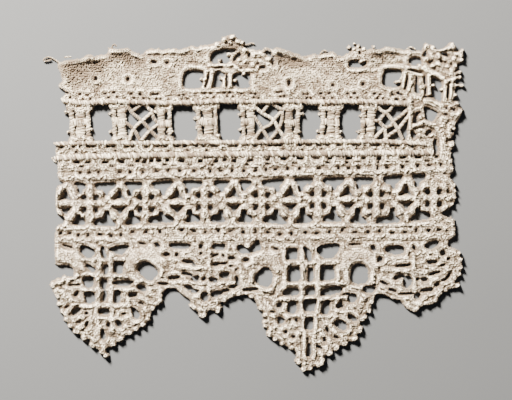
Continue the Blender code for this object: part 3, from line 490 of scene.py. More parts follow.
LOWER_RIGHT_EDGE = (
    (143.6, 73.0), (144.5, 70.2), (142.3, 68.2), (144.3, 66.8), (145.0, 62.0), (144.4, 59.4),
    (142.9, 57.2), (140.6, 56.2), (139.8, 55.4), (140.4, 54.9), (142.4, 53.9), (143.8, 54.2),
    (144.6, 52.4), (144.7, 49.0), (144.8, 47.2), (142.6, 46.4), (141.9, 45.0), (142.5, 43.6),
    (145.2, 43.2), (146.4, 40.6), (147.2, 37.8), (146.5, 34.4), (145.6, 32.8), (144.0, 31.4),
    (145.6, 31.0), (146.1, 30.2), (145.2, 29.2), (142.6, 29.0), (140.4, 27.8),
)
POINT_EDGE = (
    (139.2, 26.4), (138.2, 24.6), (136.6, 23.7), (135.0, 23.2), (133.4, 23.2), (132.2, 22.4), (131.4, 21.2),
    (130.3, 20.7), (129.2, 21.2), (128.0, 21.8), (126.8, 22.8), (126.0, 24.0), (125.4, 25.2), (123.6, 25.2),
    (122.0, 25.6), (120.9, 26.4), (119.6, 27.0), (118.0, 27.2), (116.6, 27.0), (116.3, 25.0), (115.0, 22.5),
    (115.5, 21.0), (113.0, 20.5), (114.0, 19.3), (113.0, 18.0), (111.0, 17.3), (112.5, 15.5), (111.7, 13.5),
    (110.2, 13.2), (110.8, 11.8), (109.0, 10.5), (107.3, 10.8), (106.9, 9.3), (105.6, 8.8), (104.3, 9.6),
    (103.8, 7.8), (102.5, 7.2), (101.8, 8.0), (101.7, 6.0), (100.5, 5.4), (99.0, 6.2), (99.3, 4.2),
    (98.2, 2.2), (96.8, 1.4), (95.3, 2.2), (93.8, 0.3), (92.5, 0.5), (90.4, 0.9), (91.0, 2.0), (89.6, 2.5),
    (88.3, 3.8), (89.0, 5.8), (88.8, 7.4), (87.5, 7.6), (86.0, 8.6), (84.8, 9.5), (83.3, 10.6),
    (82.5, 11.2), (81.0, 10.8), (80.7, 12.2), (78.9, 12.3), (78.4, 13.6), (79.0, 15.2), (77.2, 16.3),
    (77.0, 17.2), (78.4, 18.8), (77.0, 19.8), (77.4, 21.0), (75.8, 21.6), (75.2, 23.6), (74.5, 25.4),
    (73.0, 25.6), (71.8, 27.0), (70.6, 27.0), (69.2, 26.4), (67.6, 26.4), (66.4, 25.9), (65.2, 25.2),
    (64.4, 24.3), (62.5, 24.6), (62.7, 23.2), (62.3, 21.2), (61.4, 20.3), (60.9, 21.2), (59.8, 21.4),
    (58.4, 21.8), (57.9, 20.4), (57.2, 19.0), (56.3, 18.5), (55.4, 19.0), (54.8, 20.2), (54.2, 21.3),
    (53.0, 21.6), (52.0, 22.6), (51.8, 24.2), (52.0, 25.2), (50.6, 26.0), (49.0, 27.0), (47.8, 28.2),
    (47.0, 29.2), (45.0, 29.2), (43.9, 29.2), (42.5, 28.0), (42.3, 26.0), (41.8, 24.0), (41.0, 23.2),
    (39.8, 23.0), (39.6, 21.6), (38.3, 21.2), (38.3, 19.2), (37.8, 17.6), (36.6, 17.3), (36.4, 16.0),
    (34.4, 15.7), (33.8, 14.3), (32.0, 14.2), (31.7, 13.0), (30.2, 12.8), (29.0, 12.6), (28.3, 10.8),
    (27.2, 10.3), (26.0, 10.6), (25.9, 9.0), (24.8, 8.7), (23.6, 9.0), (22.5, 8.0), (22.8, 6.8),
    (23.6, 5.6), (22.8, 4.8), (21.5, 6.0), (20.2, 7.2), (19.2, 8.4), (17.8, 8.2), (16.6, 9.6), (17.0, 11.2),
    (16.0, 11.6), (15.0, 10.8), (13.8, 11.8), (13.5, 13.2), (12.0, 13.3), (10.8, 14.0), (10.9, 15.0),
    (9.5, 15.4), (8.9, 17.2), (7.7, 18.2), (7.9, 19.6), (6.5, 20.8), (6.2, 22.6), (5.2, 24.2), (5.6, 25.2),
    (4.4, 26.8), (3.8, 28.8), (2.8, 30.2), (3.8, 32.0), (5.0, 32.5), (6.8, 32.8), (8.0, 34.0), (9.6, 33.2),
)
LOWER_LEFT_EDGE = (
    (11.2, 33.2), (11.3, 35.2), (10.4, 36.8), (8.4, 37.5), (6.0, 37.3), (4.9, 37.5), (4.5, 38.4),
    (4.5, 51.4), (8.0, 52.0), (8.0, 54.4), (4.8, 55.0), (4.7, 65.2), (8.4, 65.8), (5.4, 67.2), (5.5, 72.8),
)

# Rolled bodies of the work: the line each follows, its width and how far it stands up
BODIES = [Body(*row) for row in (
    (20.4, 42.4, 20.4, 42.4, 3.0, 0.60), (20.2, 41.0, 19.4, 20.0, 2.0, 0.45),
    (25.2, 43.4, 24.2, 38.0, 2.4, 0.45), (24.2, 38.0, 24.6, 14.0, 2.2, 0.45),
    (19.0, 18.6, 21.0, 14.0, 2.0, 0.35), (13.5, 39.3, 29.0, 39.6, 1.8, 0.35),
    (14.5, 34.2, 29.6, 33.6, 1.8, 0.40), (14.8, 28.9, 33.0, 28.9, 1.8, 0.40),
    (14.0, 23.2, 30.8, 23.4, 1.8, 0.40), (17.6, 19.0, 28.0, 18.6, 1.8, 0.35),
    (31.6, 34.0, 33.4, 31.2, 2.4, 0.45), (31.2, 37.6, 33.0, 40.6, 4.8, 0.58),
    (33.0, 41.0, 37.6, 41.2, 5.0, 0.58), (37.6, 41.0, 41.6, 38.0, 4.8, 0.58),
    (42.2, 37.0, 42.0, 34.0, 2.4, 0.40), (38.6, 31.4, 35.0, 32.0, 2.2, 0.40),
    (6.6, 41.0, 11.6, 40.2, 5.2, 0.58), (11.6, 40.0, 13.0, 36.4, 4.6, 0.58),
    (12.4, 34.0, 6.0, 31.4, 2.4, 0.45), (5.8, 28.6, 10.4, 25.4, 2.4, 0.40),
    (8.4, 20.6, 12.0, 24.6, 2.2, 0.40), (13.0, 15.4, 17.6, 18.6, 2.2, 0.35),
    (30.6, 30.0, 30.4, 24.0, 2.0, 0.40), (34.0, 26.6, 38.0, 24.6, 2.2, 0.35),
    (29.4, 16.2, 33.6, 18.0, 2.2, 0.35), (21.0, 10.4, 23.0, 7.0, 2.0, 0.35),
    (91.0, 43.6, 90.9, 20.6, 2.3, 0.55), (96.6, 43.6, 96.5, 21.0, 2.3, 0.55),
    (84.6, 38.2, 104.0, 38.6, 2.0, 0.45), (84.4, 31.0, 106.6, 31.3, 2.0, 0.45),
    (83.6, 25.7, 107.0, 26.0, 1.8, 0.40), (85.0, 20.1, 102.8, 19.9, 1.8, 0.40),
    (85.0, 42.0, 85.0, 27.0, 2.0, 0.45), (103.6, 36.6, 103.2, 21.6, 1.9, 0.40),
    (91.6, 19.0, 92.0, 5.0, 1.7, 0.40), (95.6, 19.0, 95.0, 5.0, 1.7, 0.40),
    (72.4, 37.6, 75.2, 40.2, 4.6, 0.58), (75.4, 40.4, 80.6, 40.6, 5.2, 0.58),
    (80.8, 40.2, 83.2, 36.6, 4.6, 0.58), (73.6, 35.0, 73.2, 32.2, 2.4, 0.40),
    (75.2, 29.6, 80.2, 28.6, 2.2, 0.40), (105.2, 37.0, 107.0, 40.4, 4.6, 0.58),
    (107.2, 40.8, 112.8, 41.0, 5.0, 0.58), (113.0, 40.6, 116.4, 37.4, 4.8, 0.58),
    (106.4, 34.6, 106.8, 32.0, 2.4, 0.40), (115.8, 34.6, 115.4, 31.6, 2.4, 0.40),
    (107.6, 29.6, 113.0, 29.4, 2.0, 0.40), (78.0, 24.8, 81.2, 20.0, 2.2, 0.35),
    (80.4, 15.4, 86.6, 20.0, 2.0, 0.35), (87.0, 10.6, 91.0, 15.0, 2.2, 0.35),
    (97.0, 14.6, 101.6, 9.6, 2.0, 0.35), (101.4, 18.8, 107.4, 14.2, 2.0, 0.35),
    (110.8, 22.0, 112.6, 26.4, 2.2, 0.35), (47.0, 37.0, 58.0, 36.4, 2.0, 0.35),
    (58.6, 42.0, 58.4, 26.0, 1.8, 0.35), (45.0, 31.6, 68.0, 31.0, 1.8, 0.30),
    (119.0, 36.0, 134.0, 35.2, 2.0, 0.35), (129.6, 41.0, 130.4, 26.0, 1.8, 0.35),
    (134.6, 40.4, 142.4, 36.0, 2.0, 0.35), (5.5, 68.3, 143.0, 71.0, 3.0, 0.35),
    (5.2, 50.4, 138.0, 51.8, 1.6, 0.25), (5.2, 46.4, 141.0, 47.6, 2.6, 0.20),
    (6.6, 107.9, 19.6, 109.4, 2.0, 0.12), (23.6, 112.0, 30.4, 112.2, 2.0, 0.14),
    (30.4, 112.0, 34.4, 110.2, 2.0, 0.12), (37.0, 112.0, 51.0, 112.2, 2.0, 0.20),
    (80.8, 111.8, 83.0, 112.2, 2.6, 0.22), (83.0, 112.2, 90.5, 109.8, 2.6, 0.18),
    (97.0, 110.4, 103.0, 110.8, 2.0, 0.25), (114.0, 111.6, 121.0, 112.6, 2.2, 0.16),
    (121.0, 112.6, 132.0, 111.2, 2.0, 0.20), (57.5, 105.0, 56.7, 99.4, 1.6, 0.45),
    (59.6, 104.6, 58.6, 99.4, 1.7, 0.45), (63.7, 103.6, 63.8, 99.8, 1.5, 0.45),
    (66.0, 103.6, 65.8, 100.0, 1.9, 0.55), (58.4, 107.2, 65.6, 107.4, 1.5, 0.35),
    (58.6, 105.6, 62.0, 106.0, 1.3, 0.35), (66.0, 107.4, 70.2, 105.4, 1.6, 0.40),
    (70.2, 105.4, 75.0, 105.5, 1.3, 0.30), (52.0, 107.0, 57.0, 106.2, 1.8, 0.25),
    (50.0, 98.4, 72.0, 98.4, 1.5, 0.25), (73.4, 111.0, 77.6, 111.2, 2.4, 0.40),
    (71.2, 113.0, 74.6, 112.6, 1.2, 0.35), (114.6, 110.0, 118.0, 108.6, 2.6, 0.25),
    (107.0, 105.6, 118.0, 105.6, 1.6, 0.20), (119.5, 106.6, 126.8, 106.8, 1.8, 0.25),
    (126.8, 104.6, 126.4, 99.8, 1.4, 0.40), (128.8, 104.4, 128.2, 98.8, 1.6, 0.40),
    (135.3, 103.8, 135.4, 97.2, 1.5, 0.50), (127.4, 106.3, 133.6, 106.2, 1.5, 0.50),
    (133.6, 106.2, 140.0, 102.6, 2.0, 0.50), (128.2, 105.0, 132.4, 103.8, 1.4, 0.35),
    (141.0, 101.6, 140.9, 95.2, 1.6, 0.50), (143.0, 100.2, 143.0, 95.8, 1.5, 0.45),
    (140.8, 101.6, 144.4, 102.4, 1.4, 0.45), (134.0, 94.8, 139.4, 93.2, 2.2, 0.40),
    (128.8, 95.0, 128.4, 82.0, 2.4, 0.45), (129.6, 86.2, 133.6, 87.3, 1.7, 0.55),
    (133.6, 87.3, 137.4, 86.0, 1.8, 0.55), (137.4, 86.0, 138.8, 84.0, 1.6, 0.50),
    (132.0, 82.6, 136.8, 82.8, 1.5, 0.35), (139.9, 88.0, 140.2, 77.2, 2.4, 0.45),
    (142.6, 86.4, 142.4, 82.6, 2.2, 0.40), (137.6, 112.6, 144.0, 113.4, 1.6, 0.45),
    (144.6, 111.0, 146.8, 111.8, 1.6, 0.40), (139.4, 76.6, 143.0, 76.4, 1.8, 0.30),
    (140.0, 91.6, 145.6, 89.6, 2.2, 0.30),
)]
# Bodies of one worked star, and of one peak between two stars, from the middle of each
STAR_BODIES = [Body(*row) for row in (
    (0.0, 1.2, 0.0, 5.0, 3.0, 0.36), (0.0, -1.4, 0.0, -5.2, 3.0, 0.36), (-5.0, 0.0, 5.0, 0.0, 2.9, 0.34),
    (0.0, 0.0, 0.0, 0.0, 4.0, 0.42), (-3.7, 3.5, -3.2, 3.9, 2.8, 0.60), (3.7, 3.5, 3.2, 3.9, 2.8, 0.60),
    (-3.8, -3.9, -3.2, -4.3, 3.0, 0.60), (3.8, -3.9, 3.2, -4.3, 3.0, 0.60),
)]
PEAK_BODIES = [Body(*row) for row in (
    (-3.7, 2.0, -0.8, 6.0, 2.9, 0.60), (3.3, 2.0, 0.8, 6.0, 2.7, 0.60), (-2.8, 0.0, 2.8, 0.0, 2.6, 0.50),
    (-4.0, -2.0, -2.2, -4.6, 3.2, 0.60), (4.0, -2.0, 2.2, -4.6, 3.2, 0.60),
    (-0.1, -5.6, -0.1, -7.6, 2.2, 0.40),
)]
# Soft shade in the hollows: the line each follows, its width and how dark it is
SHADES = [Body(*row) for row in (
    (8.6, 106.0, 19.0, 106.4, 5.2, 0.44), (9.0, 104.0, 16.0, 103.2, 4.2, 0.18),
    (24.5, 110.2, 30.0, 110.4, 2.8, 0.45), (31.0, 108.6, 34.0, 107.4, 4.0, 0.36),
    (21.0, 108.8, 23.0, 107.6, 1.8, 0.30), (26.0, 104.7, 35.0, 104.6, 1.1, 0.25),
    (38.5, 106.0, 41.0, 106.2, 1.4, 0.22), (38.0, 110.6, 40.0, 110.4, 1.4, 0.20),
    (52.0, 108.6, 54.0, 108.2, 2.0, 0.18), (56.0, 111.4, 59.0, 111.8, 1.8, 0.32),
    (64.0, 114.0, 69.0, 114.2, 2.2, 0.38), (71.0, 107.0, 72.4, 107.4, 1.8, 0.45),
    (82.5, 109.2, 88.4, 108.7, 3.4, 0.48), (88.6, 107.9, 92.6, 107.6, 2.8, 0.40),
    (95.4, 106.2, 97.0, 106.2, 1.4, 0.28), (98.0, 109.3, 99.6, 108.4, 1.3, 0.28),
    (100.0, 107.8, 103.5, 107.8, 1.5, 0.25), (90.5, 99.8, 93.0, 98.5, 0.9, 0.32),
    (95.5, 98.6, 98.4, 98.9, 0.9, 0.32), (75.5, 99.5, 78.6, 99.4, 1.0, 0.32),
    (115.0, 110.6, 120.0, 109.4, 2.4, 0.35), (120.0, 111.6, 123.0, 110.4, 1.8, 0.38),
    (124.5, 111.2, 126.4, 110.8, 1.3, 0.22), (134.5, 86.4, 137.0, 85.4, 1.6, 0.35),
    (130.4, 79.4, 133.0, 78.8, 1.2, 0.35), (114.0, 104.4, 117.5, 103.8, 1.2, 0.18),
    (41.5, 102.6, 43.0, 102.0, 1.8, 0.22), (12.0, 99.6, 14.5, 99.5, 0.8, 0.20),
    (136.0, 106.2, 139.0, 104.8, 0.9, 0.25), (30.5, 38.4, 32.5, 37.4, 2.4, 0.45),
    (22.8, 14.4, 25.6, 12.8, 2.2, 0.48), (35.0, 27.4, 37.2, 26.0, 1.6, 0.28),
    (8.0, 28.0, 12.0, 28.6, 1.2, 0.20), (12.0, 36.0, 14.0, 35.0, 2.0, 0.25),
)]
# The torn edge has rolled up: middle of each roll, its half length, and how high it stands
ROLLS = [Roll(*row) for row in (
    (13.5, 109.5, 8.0, 1.7),
    (29.0, 112.6, 7.5, 1.9),
    (46.0, 113.0, 9.0, 0.9),
    (85.5, 113.0, 7.5, 2.2),
    (118.5, 113.0, 6.5, 1.8),
    (65.5, 116.8, 5.0, 1.2),
    (141.0, 114.0, 6.0, 1.2),
)]


def at(name, x):
    """Where a long line of the work runs at x."""
    return np.interp(x, [line.x for line in LINES], [getattr(line, name) for line in LINES])


def along(name, x0, x1, rise=0.0, step=3.0):
    """Points of a long line of the work from x0 to x1, moved up by rise."""
    x = np.linspace(x0, x1, max(2, int(abs(x1 - x0) / step) + 1))
    return np.stack([x, at(name, x) + rise], axis=1)


def waves(x, y, size, seed):
    """Smooth unevenness from -1 to 1, with features of about that size."""
    rng = np.random.default_rng(seed)
    total = np.zeros(np.broadcast(x, y).shape)
    for _ in range(7):
        turn = rng.uniform(0, 2 * math.pi)
        reach = 2 * math.pi / (size * rng.uniform(0.8, 2.0))
        phase = rng.uniform(0, 2 * math.pi)
        total = total + np.sin(reach * (x * math.cos(turn) + y * math.sin(turn)) + phase)
    return total / 3.5


def pebbles(x, y, size, seed):
    """How far each place is from the middle of its nearest pebble, in pebble sizes."""
    rng = np.random.default_rng(seed)
    off = rng.uniform(-0.42, 0.42, (int(140 / size), int(170 / size), 2))
    j, i = ((y + 8) / size).astype(int), ((x + 8) / size).astype(int)
    nearest = np.full(np.shape(x), 9.0)
    for dj in (-1, 0, 1):
        for di in (-1, 0, 1):
            row, column = np.clip(j + dj, 0, off.shape[0] - 1), np.clip(i + di, 0, off.shape[1] - 1)
            far_x = (column + 0.5 + off[row, column, 0] + 0.5 * (row % 2)) * size - 8 - x
            far_y = (row + 0.5 + off[row, column, 1]) * size - 8 - y
            nearest = np.minimum(nearest, np.hypot(far_x, far_y) / size)
    return nearest


def strokes(x, y, bodies):
    """For each body: the cells round it, and how far each lies from its line, in half widths."""
    for b in bodies:
        reach = b.width / 2
        i0, i1 = np.searchsorted(X_CELLS, (min(b.x0, b.x1) - 2 * reach, max(b.x0, b.x1) + 2 * reach))
        j0, j1 = np.searchsorted(Y_CELLS, (min(b.y0, b.y1) - 2 * reach, max(b.y0, b.y1) + 2 * reach))
        part = (slice(j0, j1), slice(i0, i1))
        run_x, run_y = b.x1 - b.x0, b.y1 - b.y0
        t = ((x[part] - b.x0) * run_x + (y[part] - b.y0) * run_y) / max(run_x ** 2 + run_y ** 2, 1e-6)
        t = np.clip(t, 0, 1)
        yield b, part, np.hypot(x[part] - b.x0 - t * run_x, y[part] - b.y0 - t * run_y) / reach


def edge_lobes(edge):
    """Small rounded lobes on the inner side of each outward corner of an edge."""
    edge = np.asarray(edge, float)
    before, here, after = edge[:-2], edge[1:-1], edge[2:]
    turn = np.cross(here - before, after - here)
    chord = (before + after) / 2 - here
    size = np.maximum(np.linalg.norm(chord, axis=1), 0.05)
    outward = (turn < 0) & (size > 0.3)
    middles = here[outward] + chord[outward] / size[outward, None] * 0.95
    return [Body(px, py, px, py, 1.9, 0.42) for px, py in middles]


def knots():
    """The pegs on the bars and the round knots of the motifs."""
    found = [Body(px, py, px, py, size, 0.50) for px, py, size in KNOBS]
    for px, py, turn in PICOTS:
        c, s = math.cos(math.radians(turn)), math.sin(math.radians(turn))
        found.append(Body(px, py, px - 0.2 * c, py - 0.2 * s, 1.5, 0.50))
        found.append(Body(px, py, px - 1.8 * c, py - 1.8 * s, 1.05, 0.20))
    return found


def shoulders():
    """The rounded corners where the bars of the square row meet its two cords."""
    found = []
    for post in POSTS:
        top, foot = float(at("heading_foot", post.top_x)) - 1.2, float(at("row_foot", post.foot_x)) + 1.0
        found.append(Body(post.top_x, top, post.top_x, top, post.width + 2.6, 0.0))
        found.append(Body(post.foot_x, foot, post.foot_x, foot, post.width + 2.2, 0.0))
    return found


def domes(x, y):
    """The rounded bodies of the work, as heights above its level."""
    bodies = BODIES + knots()
    for edge in (POINT_EDGE, TORN_EDGE[::-1], UPPER_RIGHT_EDGE[::-1]):
        bodies = bodies + edge_lobes(edge)
    for middles, motif in ((STAR_CENTRES, STAR_BODIES), (PEAK_CENTRES, PEAK_BODIES)):
        for middle in middles:
            axis = float(at("axis", middle))
            for b in motif:
                bodies.append(Body(b.x0 + middle, b.y0 + axis, b.x1 + middle, b.y1 + axis, b.width, b.rise))
    height = np.zeros(np.shape(x))
    for b, part, far in strokes(x, y, bodies):
        height[part] = np.maximum(height[part], b.rise * np.clip(1 - far * far, 0, 1) ** 0.8)
    return height


def shades(x, y):
    """How much of its light each place keeps in the soft hollows."""
    kept = np.ones(np.shape(x))
    for b, part, far in strokes(x, y, SHADES):
        kept[part] *= 1 - b.rise * np.clip(1 - far * far / 2.5, 0, 1) ** 2
    return kept


def gap_ring(g, points=28):
    """The rim of an opening: an oval, squarer for a higher power, narrower to one end."""
    turn = 2 * math.pi * np.arange(points) / points
    c, s = np.cos(turn), np.sin(turn)
    u = np.sign(c) * np.abs(c) ** (2 / g.square) * g.wide / 2
    v = np.sign(s) * np.abs(s) ** (2 / g.square) * g.high / 2
    u = u * (1 + g.taper * 2 * v / g.high)
    uneven = 1 + 0.05 * np.sin(2 * turn + g.x) + 0.04 * np.sin(3 * turn + g.y)
    a = math.radians(g.turn)
    u, v = u * uneven, v * uneven
    x = g.x + u * math.cos(a) - v * math.sin(a)
    y = g.y + u * math.sin(a) + v * math.cos(a)
    return np.stack([x, y], axis=1)


def resampled(path, step, closed=False):
    """The path again with even steps."""
    path = np.asarray(path, float)
    if closed:
        path = np.concatenate([path, path[:1]])
    run = np.concatenate([[0], np.cumsum(np.linalg.norm(np.diff(path, axis=0), axis=1))])
    count = max(2, int(round(run[-1] / step)) + 1)
    steps = np.linspace(0, run[-1], count)
    if closed:
        steps = steps[:-1]
    return np.stack([np.interp(steps, run, path[:, k]) for k in range(path.shape[1])], axis=1)


def smoothed(path, rounds=2):
    """The corners of an open path, rounded."""
    path = np.asarray(path, float)
    for _ in range(rounds):
        a, b = path[:-1], path[1:]
        cut = np.empty((2 * len(a), path.shape[1]))
        cut[0::2] = 0.75 * a + 0.25 * b
        cut[1::2] = 0.25 * a + 0.75 * b
        path = np.concatenate([path[:1], cut, path[-1:]])
    return path


def rounded(ring, rounds=2):
    """The corners of a closed ring, rounded."""
    ring = np.asarray(ring, float)
    for _ in range(rounds):
        ahead = np.roll(ring, -1, axis=0)
        ring = np.stack([0.75 * ring + 0.25 * ahead, 0.25 * ring + 0.75 * ahead], axis=1).reshape(-1, 2)
    return ring


def wedge(tip, tip_y, near, far, edge_near, edge_far, down):
    """The rim of one wedge between two figures: stepped on the star's side, slanting on the other."""
    side = 1 if far > near else -1
    return np.array([
        (tip - 0.55 * side, tip_y - 0.2 * down), (tip - 0.85 * side, tip_y + 1.3 * down),
        (tip - 1.3 * side, edge_near - 2.5 * down), (near + 1.0 * side, edge_near - 2.3 * down),
        (near + 0.2 * side, edge_near - 1.5 * down), (near, edge_near - 0.5 * down),
        (near + 0.7 * side, edge_near), (far - 0.7 * side, edge_far + 0.1 * down),
        (far, edge_far - 0.5 * down), (far - 0.8 * side, edge_far - 1.6 * down),
        (far - 1.9 * side, edge_far - 2.5 * down), (tip + 0.95 * side, tip_y + 1.3 * down),
        (tip + 0.6 * side, tip_y - 0.2 * down),
    ])


def star_rings():
    """The openings of the star band: wedges above and below, and small holes in each figure."""
    rings = []
    for k, star in enumerate(STARS):
        turn = 1 if k % 2 else -1
        top_x, low_x = (star.left, star.right)[::turn], (star.low_left, star.low_right)[::turn]
        top, low = at("star_top", top_x) - 0.1, at("star_foot", low_x) + 0.1
        rings.append(wedge(star.tip, star.tip_y, *top_x, *top, 1))
        rings.append(wedge(star.low_tip, star.low_tip_y, *low_x, *low, -1))
    for x in STAR_CENTRES:
        axis = float(at("axis", x))
        for side in (-1, 1):
            rings.append(gap_ring(gap(x + 2.1 * side, axis + 1.7, 1.6, 1.9, -14 * side)))
            rings.append(gap_ring(gap(x + 2.1 * side, axis - 2.6, 1.5, 2.0, 14 * side)))
    for x in PEAK_CENTRES:
        axis = float(at("axis", x))
        rings.append(np.array([
            (x - 2.2, axis + 1.0), (x - 0.6, axis + 1.6), (x + 0.6, axis + 1.5), (x + 2.0, axis + 0.9),
            (x + 1.1, axis + 2.2), (x + 0.4, axis + 4.0), (x - 0.3, axis + 4.1), (x - 0.9, axis + 2.3),
        ]))
        rings.append(np.array([
            (x - 2.2, axis - 1.6), (x - 1.0, axis - 2.0), (x + 0.6, axis - 1.7), (x + 1.9, axis - 1.3),
            (x + 1.5, axis - 2.3), (x + 0.4, axis - 3.8), (x - 0.3, axis - 3.8), (x - 1.0, axis - 2.6),
        ]))
    return rings


def pinhole(x, line, rise, wide, high, turn=0, points=10):
    """The rim of a pinhole, so far above a long line of the work."""
    return gap_ring(gap(x, float(at(line, x)) + rise, wide, high, turn), points)


def pin_rings():
    """Pinholes of the bands, the heading's foot and the slots of the seam."""
    rings = []
    for k, x in enumerate(PINS):
        swell = math.sin(2.4 * k)
        rings.append(pinhole(x, "pins", 0, 1.0 + 0.4 * swell, 0.95 - 0.35 * swell, 9 * math.sin(k)))
    for k, x in enumerate(LOW_PINS):
        swell = math.sin(1.9 * k)
        rise = 0.3 * math.sin(2 * k)
        rings.append(pinhole(x, "low_pins", rise, 1.15 + 0.35 * swell, 1.0 - 0.3 * swell, 12 * math.sin(k)))
    for k in range(52):
        if math.sin(1.7 * k) <= 0.1:
            x = 9.0 + 2.28 * k + 0.5 * math.sin(3 * k)
            rings.append(pinhole(x, "heading_foot", 3.0 + 0.2 * math.sin(k), 0.9, 0.42, 8 * math.sin(k)))
            rings.append(pinhole(x + 1.1, "heading_foot", 1.5, 0.6, 0.5, points=8))
    for k in range(56):
        if math.sin(2.3 * k) <= 0.5:
            x = 7.0 + 2.26 * k + 0.4 * math.sin(2 * k)
            wide = 0.95 + 0.3 * math.sin(5 * k)
            rings.append(pinhole(x, "row_foot", -1.15, wide, 0.42, 9 * math.sin(3 * k)))
            if math.sin(4.1 * k) > 0.3:
                rings.append(pinhole(x + 1.0, "cord", 1.5 + 0.3 * math.sin(k), 0.65, 0.4, -25, 8))
    for k in range(14):
        x = 14.0 + 9.4 * k + 1.5 * math.sin(2.3 * k)
        rings.append(pinhole(x, "whip", -0.2, 1.3 + 0.4 * math.sin(k), 0.42, -6))
    for x, wide in SEAM_SLOTS:
        high = 0.78 + 0.22 * math.sin(3 * x)
        rings.append(pinhole(x, "seam", 0.2 * math.sin(x), 1.15 * wide, high, 13 * math.sin(2 * x), 12))
    return rings


def outlines():
    """The outer edges of the two strips."""
    upper = np.concatenate([
        along("seam", 4.8, 143.4), UPPER_RIGHT_EDGE[::-1], TORN_EDGE[::-1], UPPER_LEFT_EDGE[::-1],
        along("heading_foot", 7.6, ROW_RIGHT, -0.7), along("row_foot", ROW_RIGHT, 4.8, 0.8),
    ])
    lower = np.concatenate([
        along("seam", 143.6, 5.4), LOWER_LEFT_EDGE[::-1], POINT_EDGE[::-1], LOWER_RIGHT_EDGE[::-1],
    ])
    return upper, lower


def fill(mask, ring, value):
    """Sets the cells whose middles lie inside the ring."""
    x0, x1 = np.searchsorted(X_CELLS, (ring[:, 0].min(), ring[:, 0].max()))
    y0, y1 = np.searchsorted(Y_CELLS, (ring[:, 1].min(), ring[:, 1].max()))
    x, y = np.meshgrid(X_CELLS[x0:x1 + 1], Y_CELLS[y0:y1 + 1])
    inside = np.zeros(x.shape, bool)
    for (ax, ay), (bx, by) in zip(ring, np.roll(ring, -1, axis=0)):
        crosses = (ay > y) != (by > y)
        if abs(by - ay) > 1e-9:
            inside ^= crosses & (x < (bx - ax) * (y - ay) / (by - ay) + ax)
    mask[y0:y1 + 1, x0:x1 + 1][inside] = value


def depth_of(mask):
    """How far each worked cell is from the nearest open one, by jumping ever shorter steps."""
    rows, columns = np.indices(mask.shape)
    near_r = np.where(mask, -9999, rows)
    near_c = np.where(mask, -9999, columns)
    best = np.where(mask, 1e12, 0.0)
    step = 64
    while step:
        for dr in (-step, 0, step):
            for dc in (-step, 0, step):
                if dr or dc:
                    r = np.roll(near_r, (dr, dc), (0, 1))
                    c = np.roll(near_c, (dr, dc), (0, 1))
                    far = (rows - r) ** 2 + (columns - c) ** 2
                    closer = far < best
                    near_r[closer] = r[closer]
                    near_c[closer] = c[closer]
                    best[closer] = far[closer]
        step //= 2
    return np.sqrt(best) * CELL


def blurred(field, rounds):
    """The field, softened by its neighbours."""
    for _ in range(rounds):
        for axis in (0, 1):
            field = (np.roll(field, 1, axis) + 2 * field + np.roll(field, -1, axis)) / 4
    return field


def sample(field, x, y):
    """The field between its cells."""
    u = np.clip((np.asarray(x) - X_CELLS[0]) / CELL, 0, len(X_CELLS) - 1.001)
    v = np.clip((np.asarray(y) - Y_CELLS[0]) / CELL, 0, len(Y_CELLS) - 1.001)
    i, j = u.astype(int), v.astype(int)
    a, b = u - i, v - j
    top = field[j, i] * (1 - a) + field[j, i + 1] * a
    low = field[j + 1, i] * (1 - a) + field[j + 1, i + 1] * a
    return top * (1 - b) + low * b


def lift(x, y):
    """How high the rolled upper edge carries the work."""
    height = np.zeros(np.shape(x))
    for roll in ROLLS:
        across = np.clip(1 - np.abs(x - roll.x) / roll.reach, 0, 0.5) * 2
        inward = np.clip(1 - (roll.y - y) / ROLL_DEPTH, 0, 1)
        height = np.maximum(height, roll.rise * across * inward ** 1.5)
    return height


def worked_cells(x, y):
    """Which cells are worked: both outlines less their openings, with knots, shoulders and lobes."""
    mask = np.zeros(x.shape, bool)
    for outline in outlines():
        fill(mask, rounded(outline), True)
    for ring in [gap_ring(g) for g in (*HEADING_GAPS, *POINT_GAPS)] + star_rings() + pin_rings():
        fill(mask, ring, False)
    for ring in WINDOWS.values():
        fill(mask, rounded(ring), False)
    for _, cells, far in strokes(x, y, knots() + shoulders() + edge_lobes(POINT_EDGE)):
        mask[cells] |= far < 1
    return mask


def cloth_height(x, y, depth, part):
    """The cloth without its bodies: round at the rims, lower further in and softly uneven."""
    body = RIM_TOP + GROUND_TOP * np.sqrt(1 - (1 - part) ** 2)
    away = np.clip((depth - BODY_RADIUS) / DIP_REACH, 0, 1)
    body = body - DIP * away * away * (3 - 2 * away)
    heading = HEADING_UNEVEN * waves(x, y, 17.0, 13) * (y > HEADING_FROM)
    return body + part * (UNEVEN * waves(x, y, 7.0, 3) + heading)


def plainness(x, y):
    """How strongly stitches and lumps show: less in the heading, least on the broad leaves."""
    plain = 1 - HEADING_CALM * np.clip((y - at("heading_foot", x) - 3) / 1.5, 0, 1)
    for _, cells, far in strokes(x, y, [b for b in BODIES if b.width > LEAF_WIDTH]):
        shows = LEAF_CALM + (1 - LEAF_CALM) * np.clip((far - 0.6) / 0.4, 0, 1)
        plain[cells] = np.minimum(plain[cells], shows)
    return plain


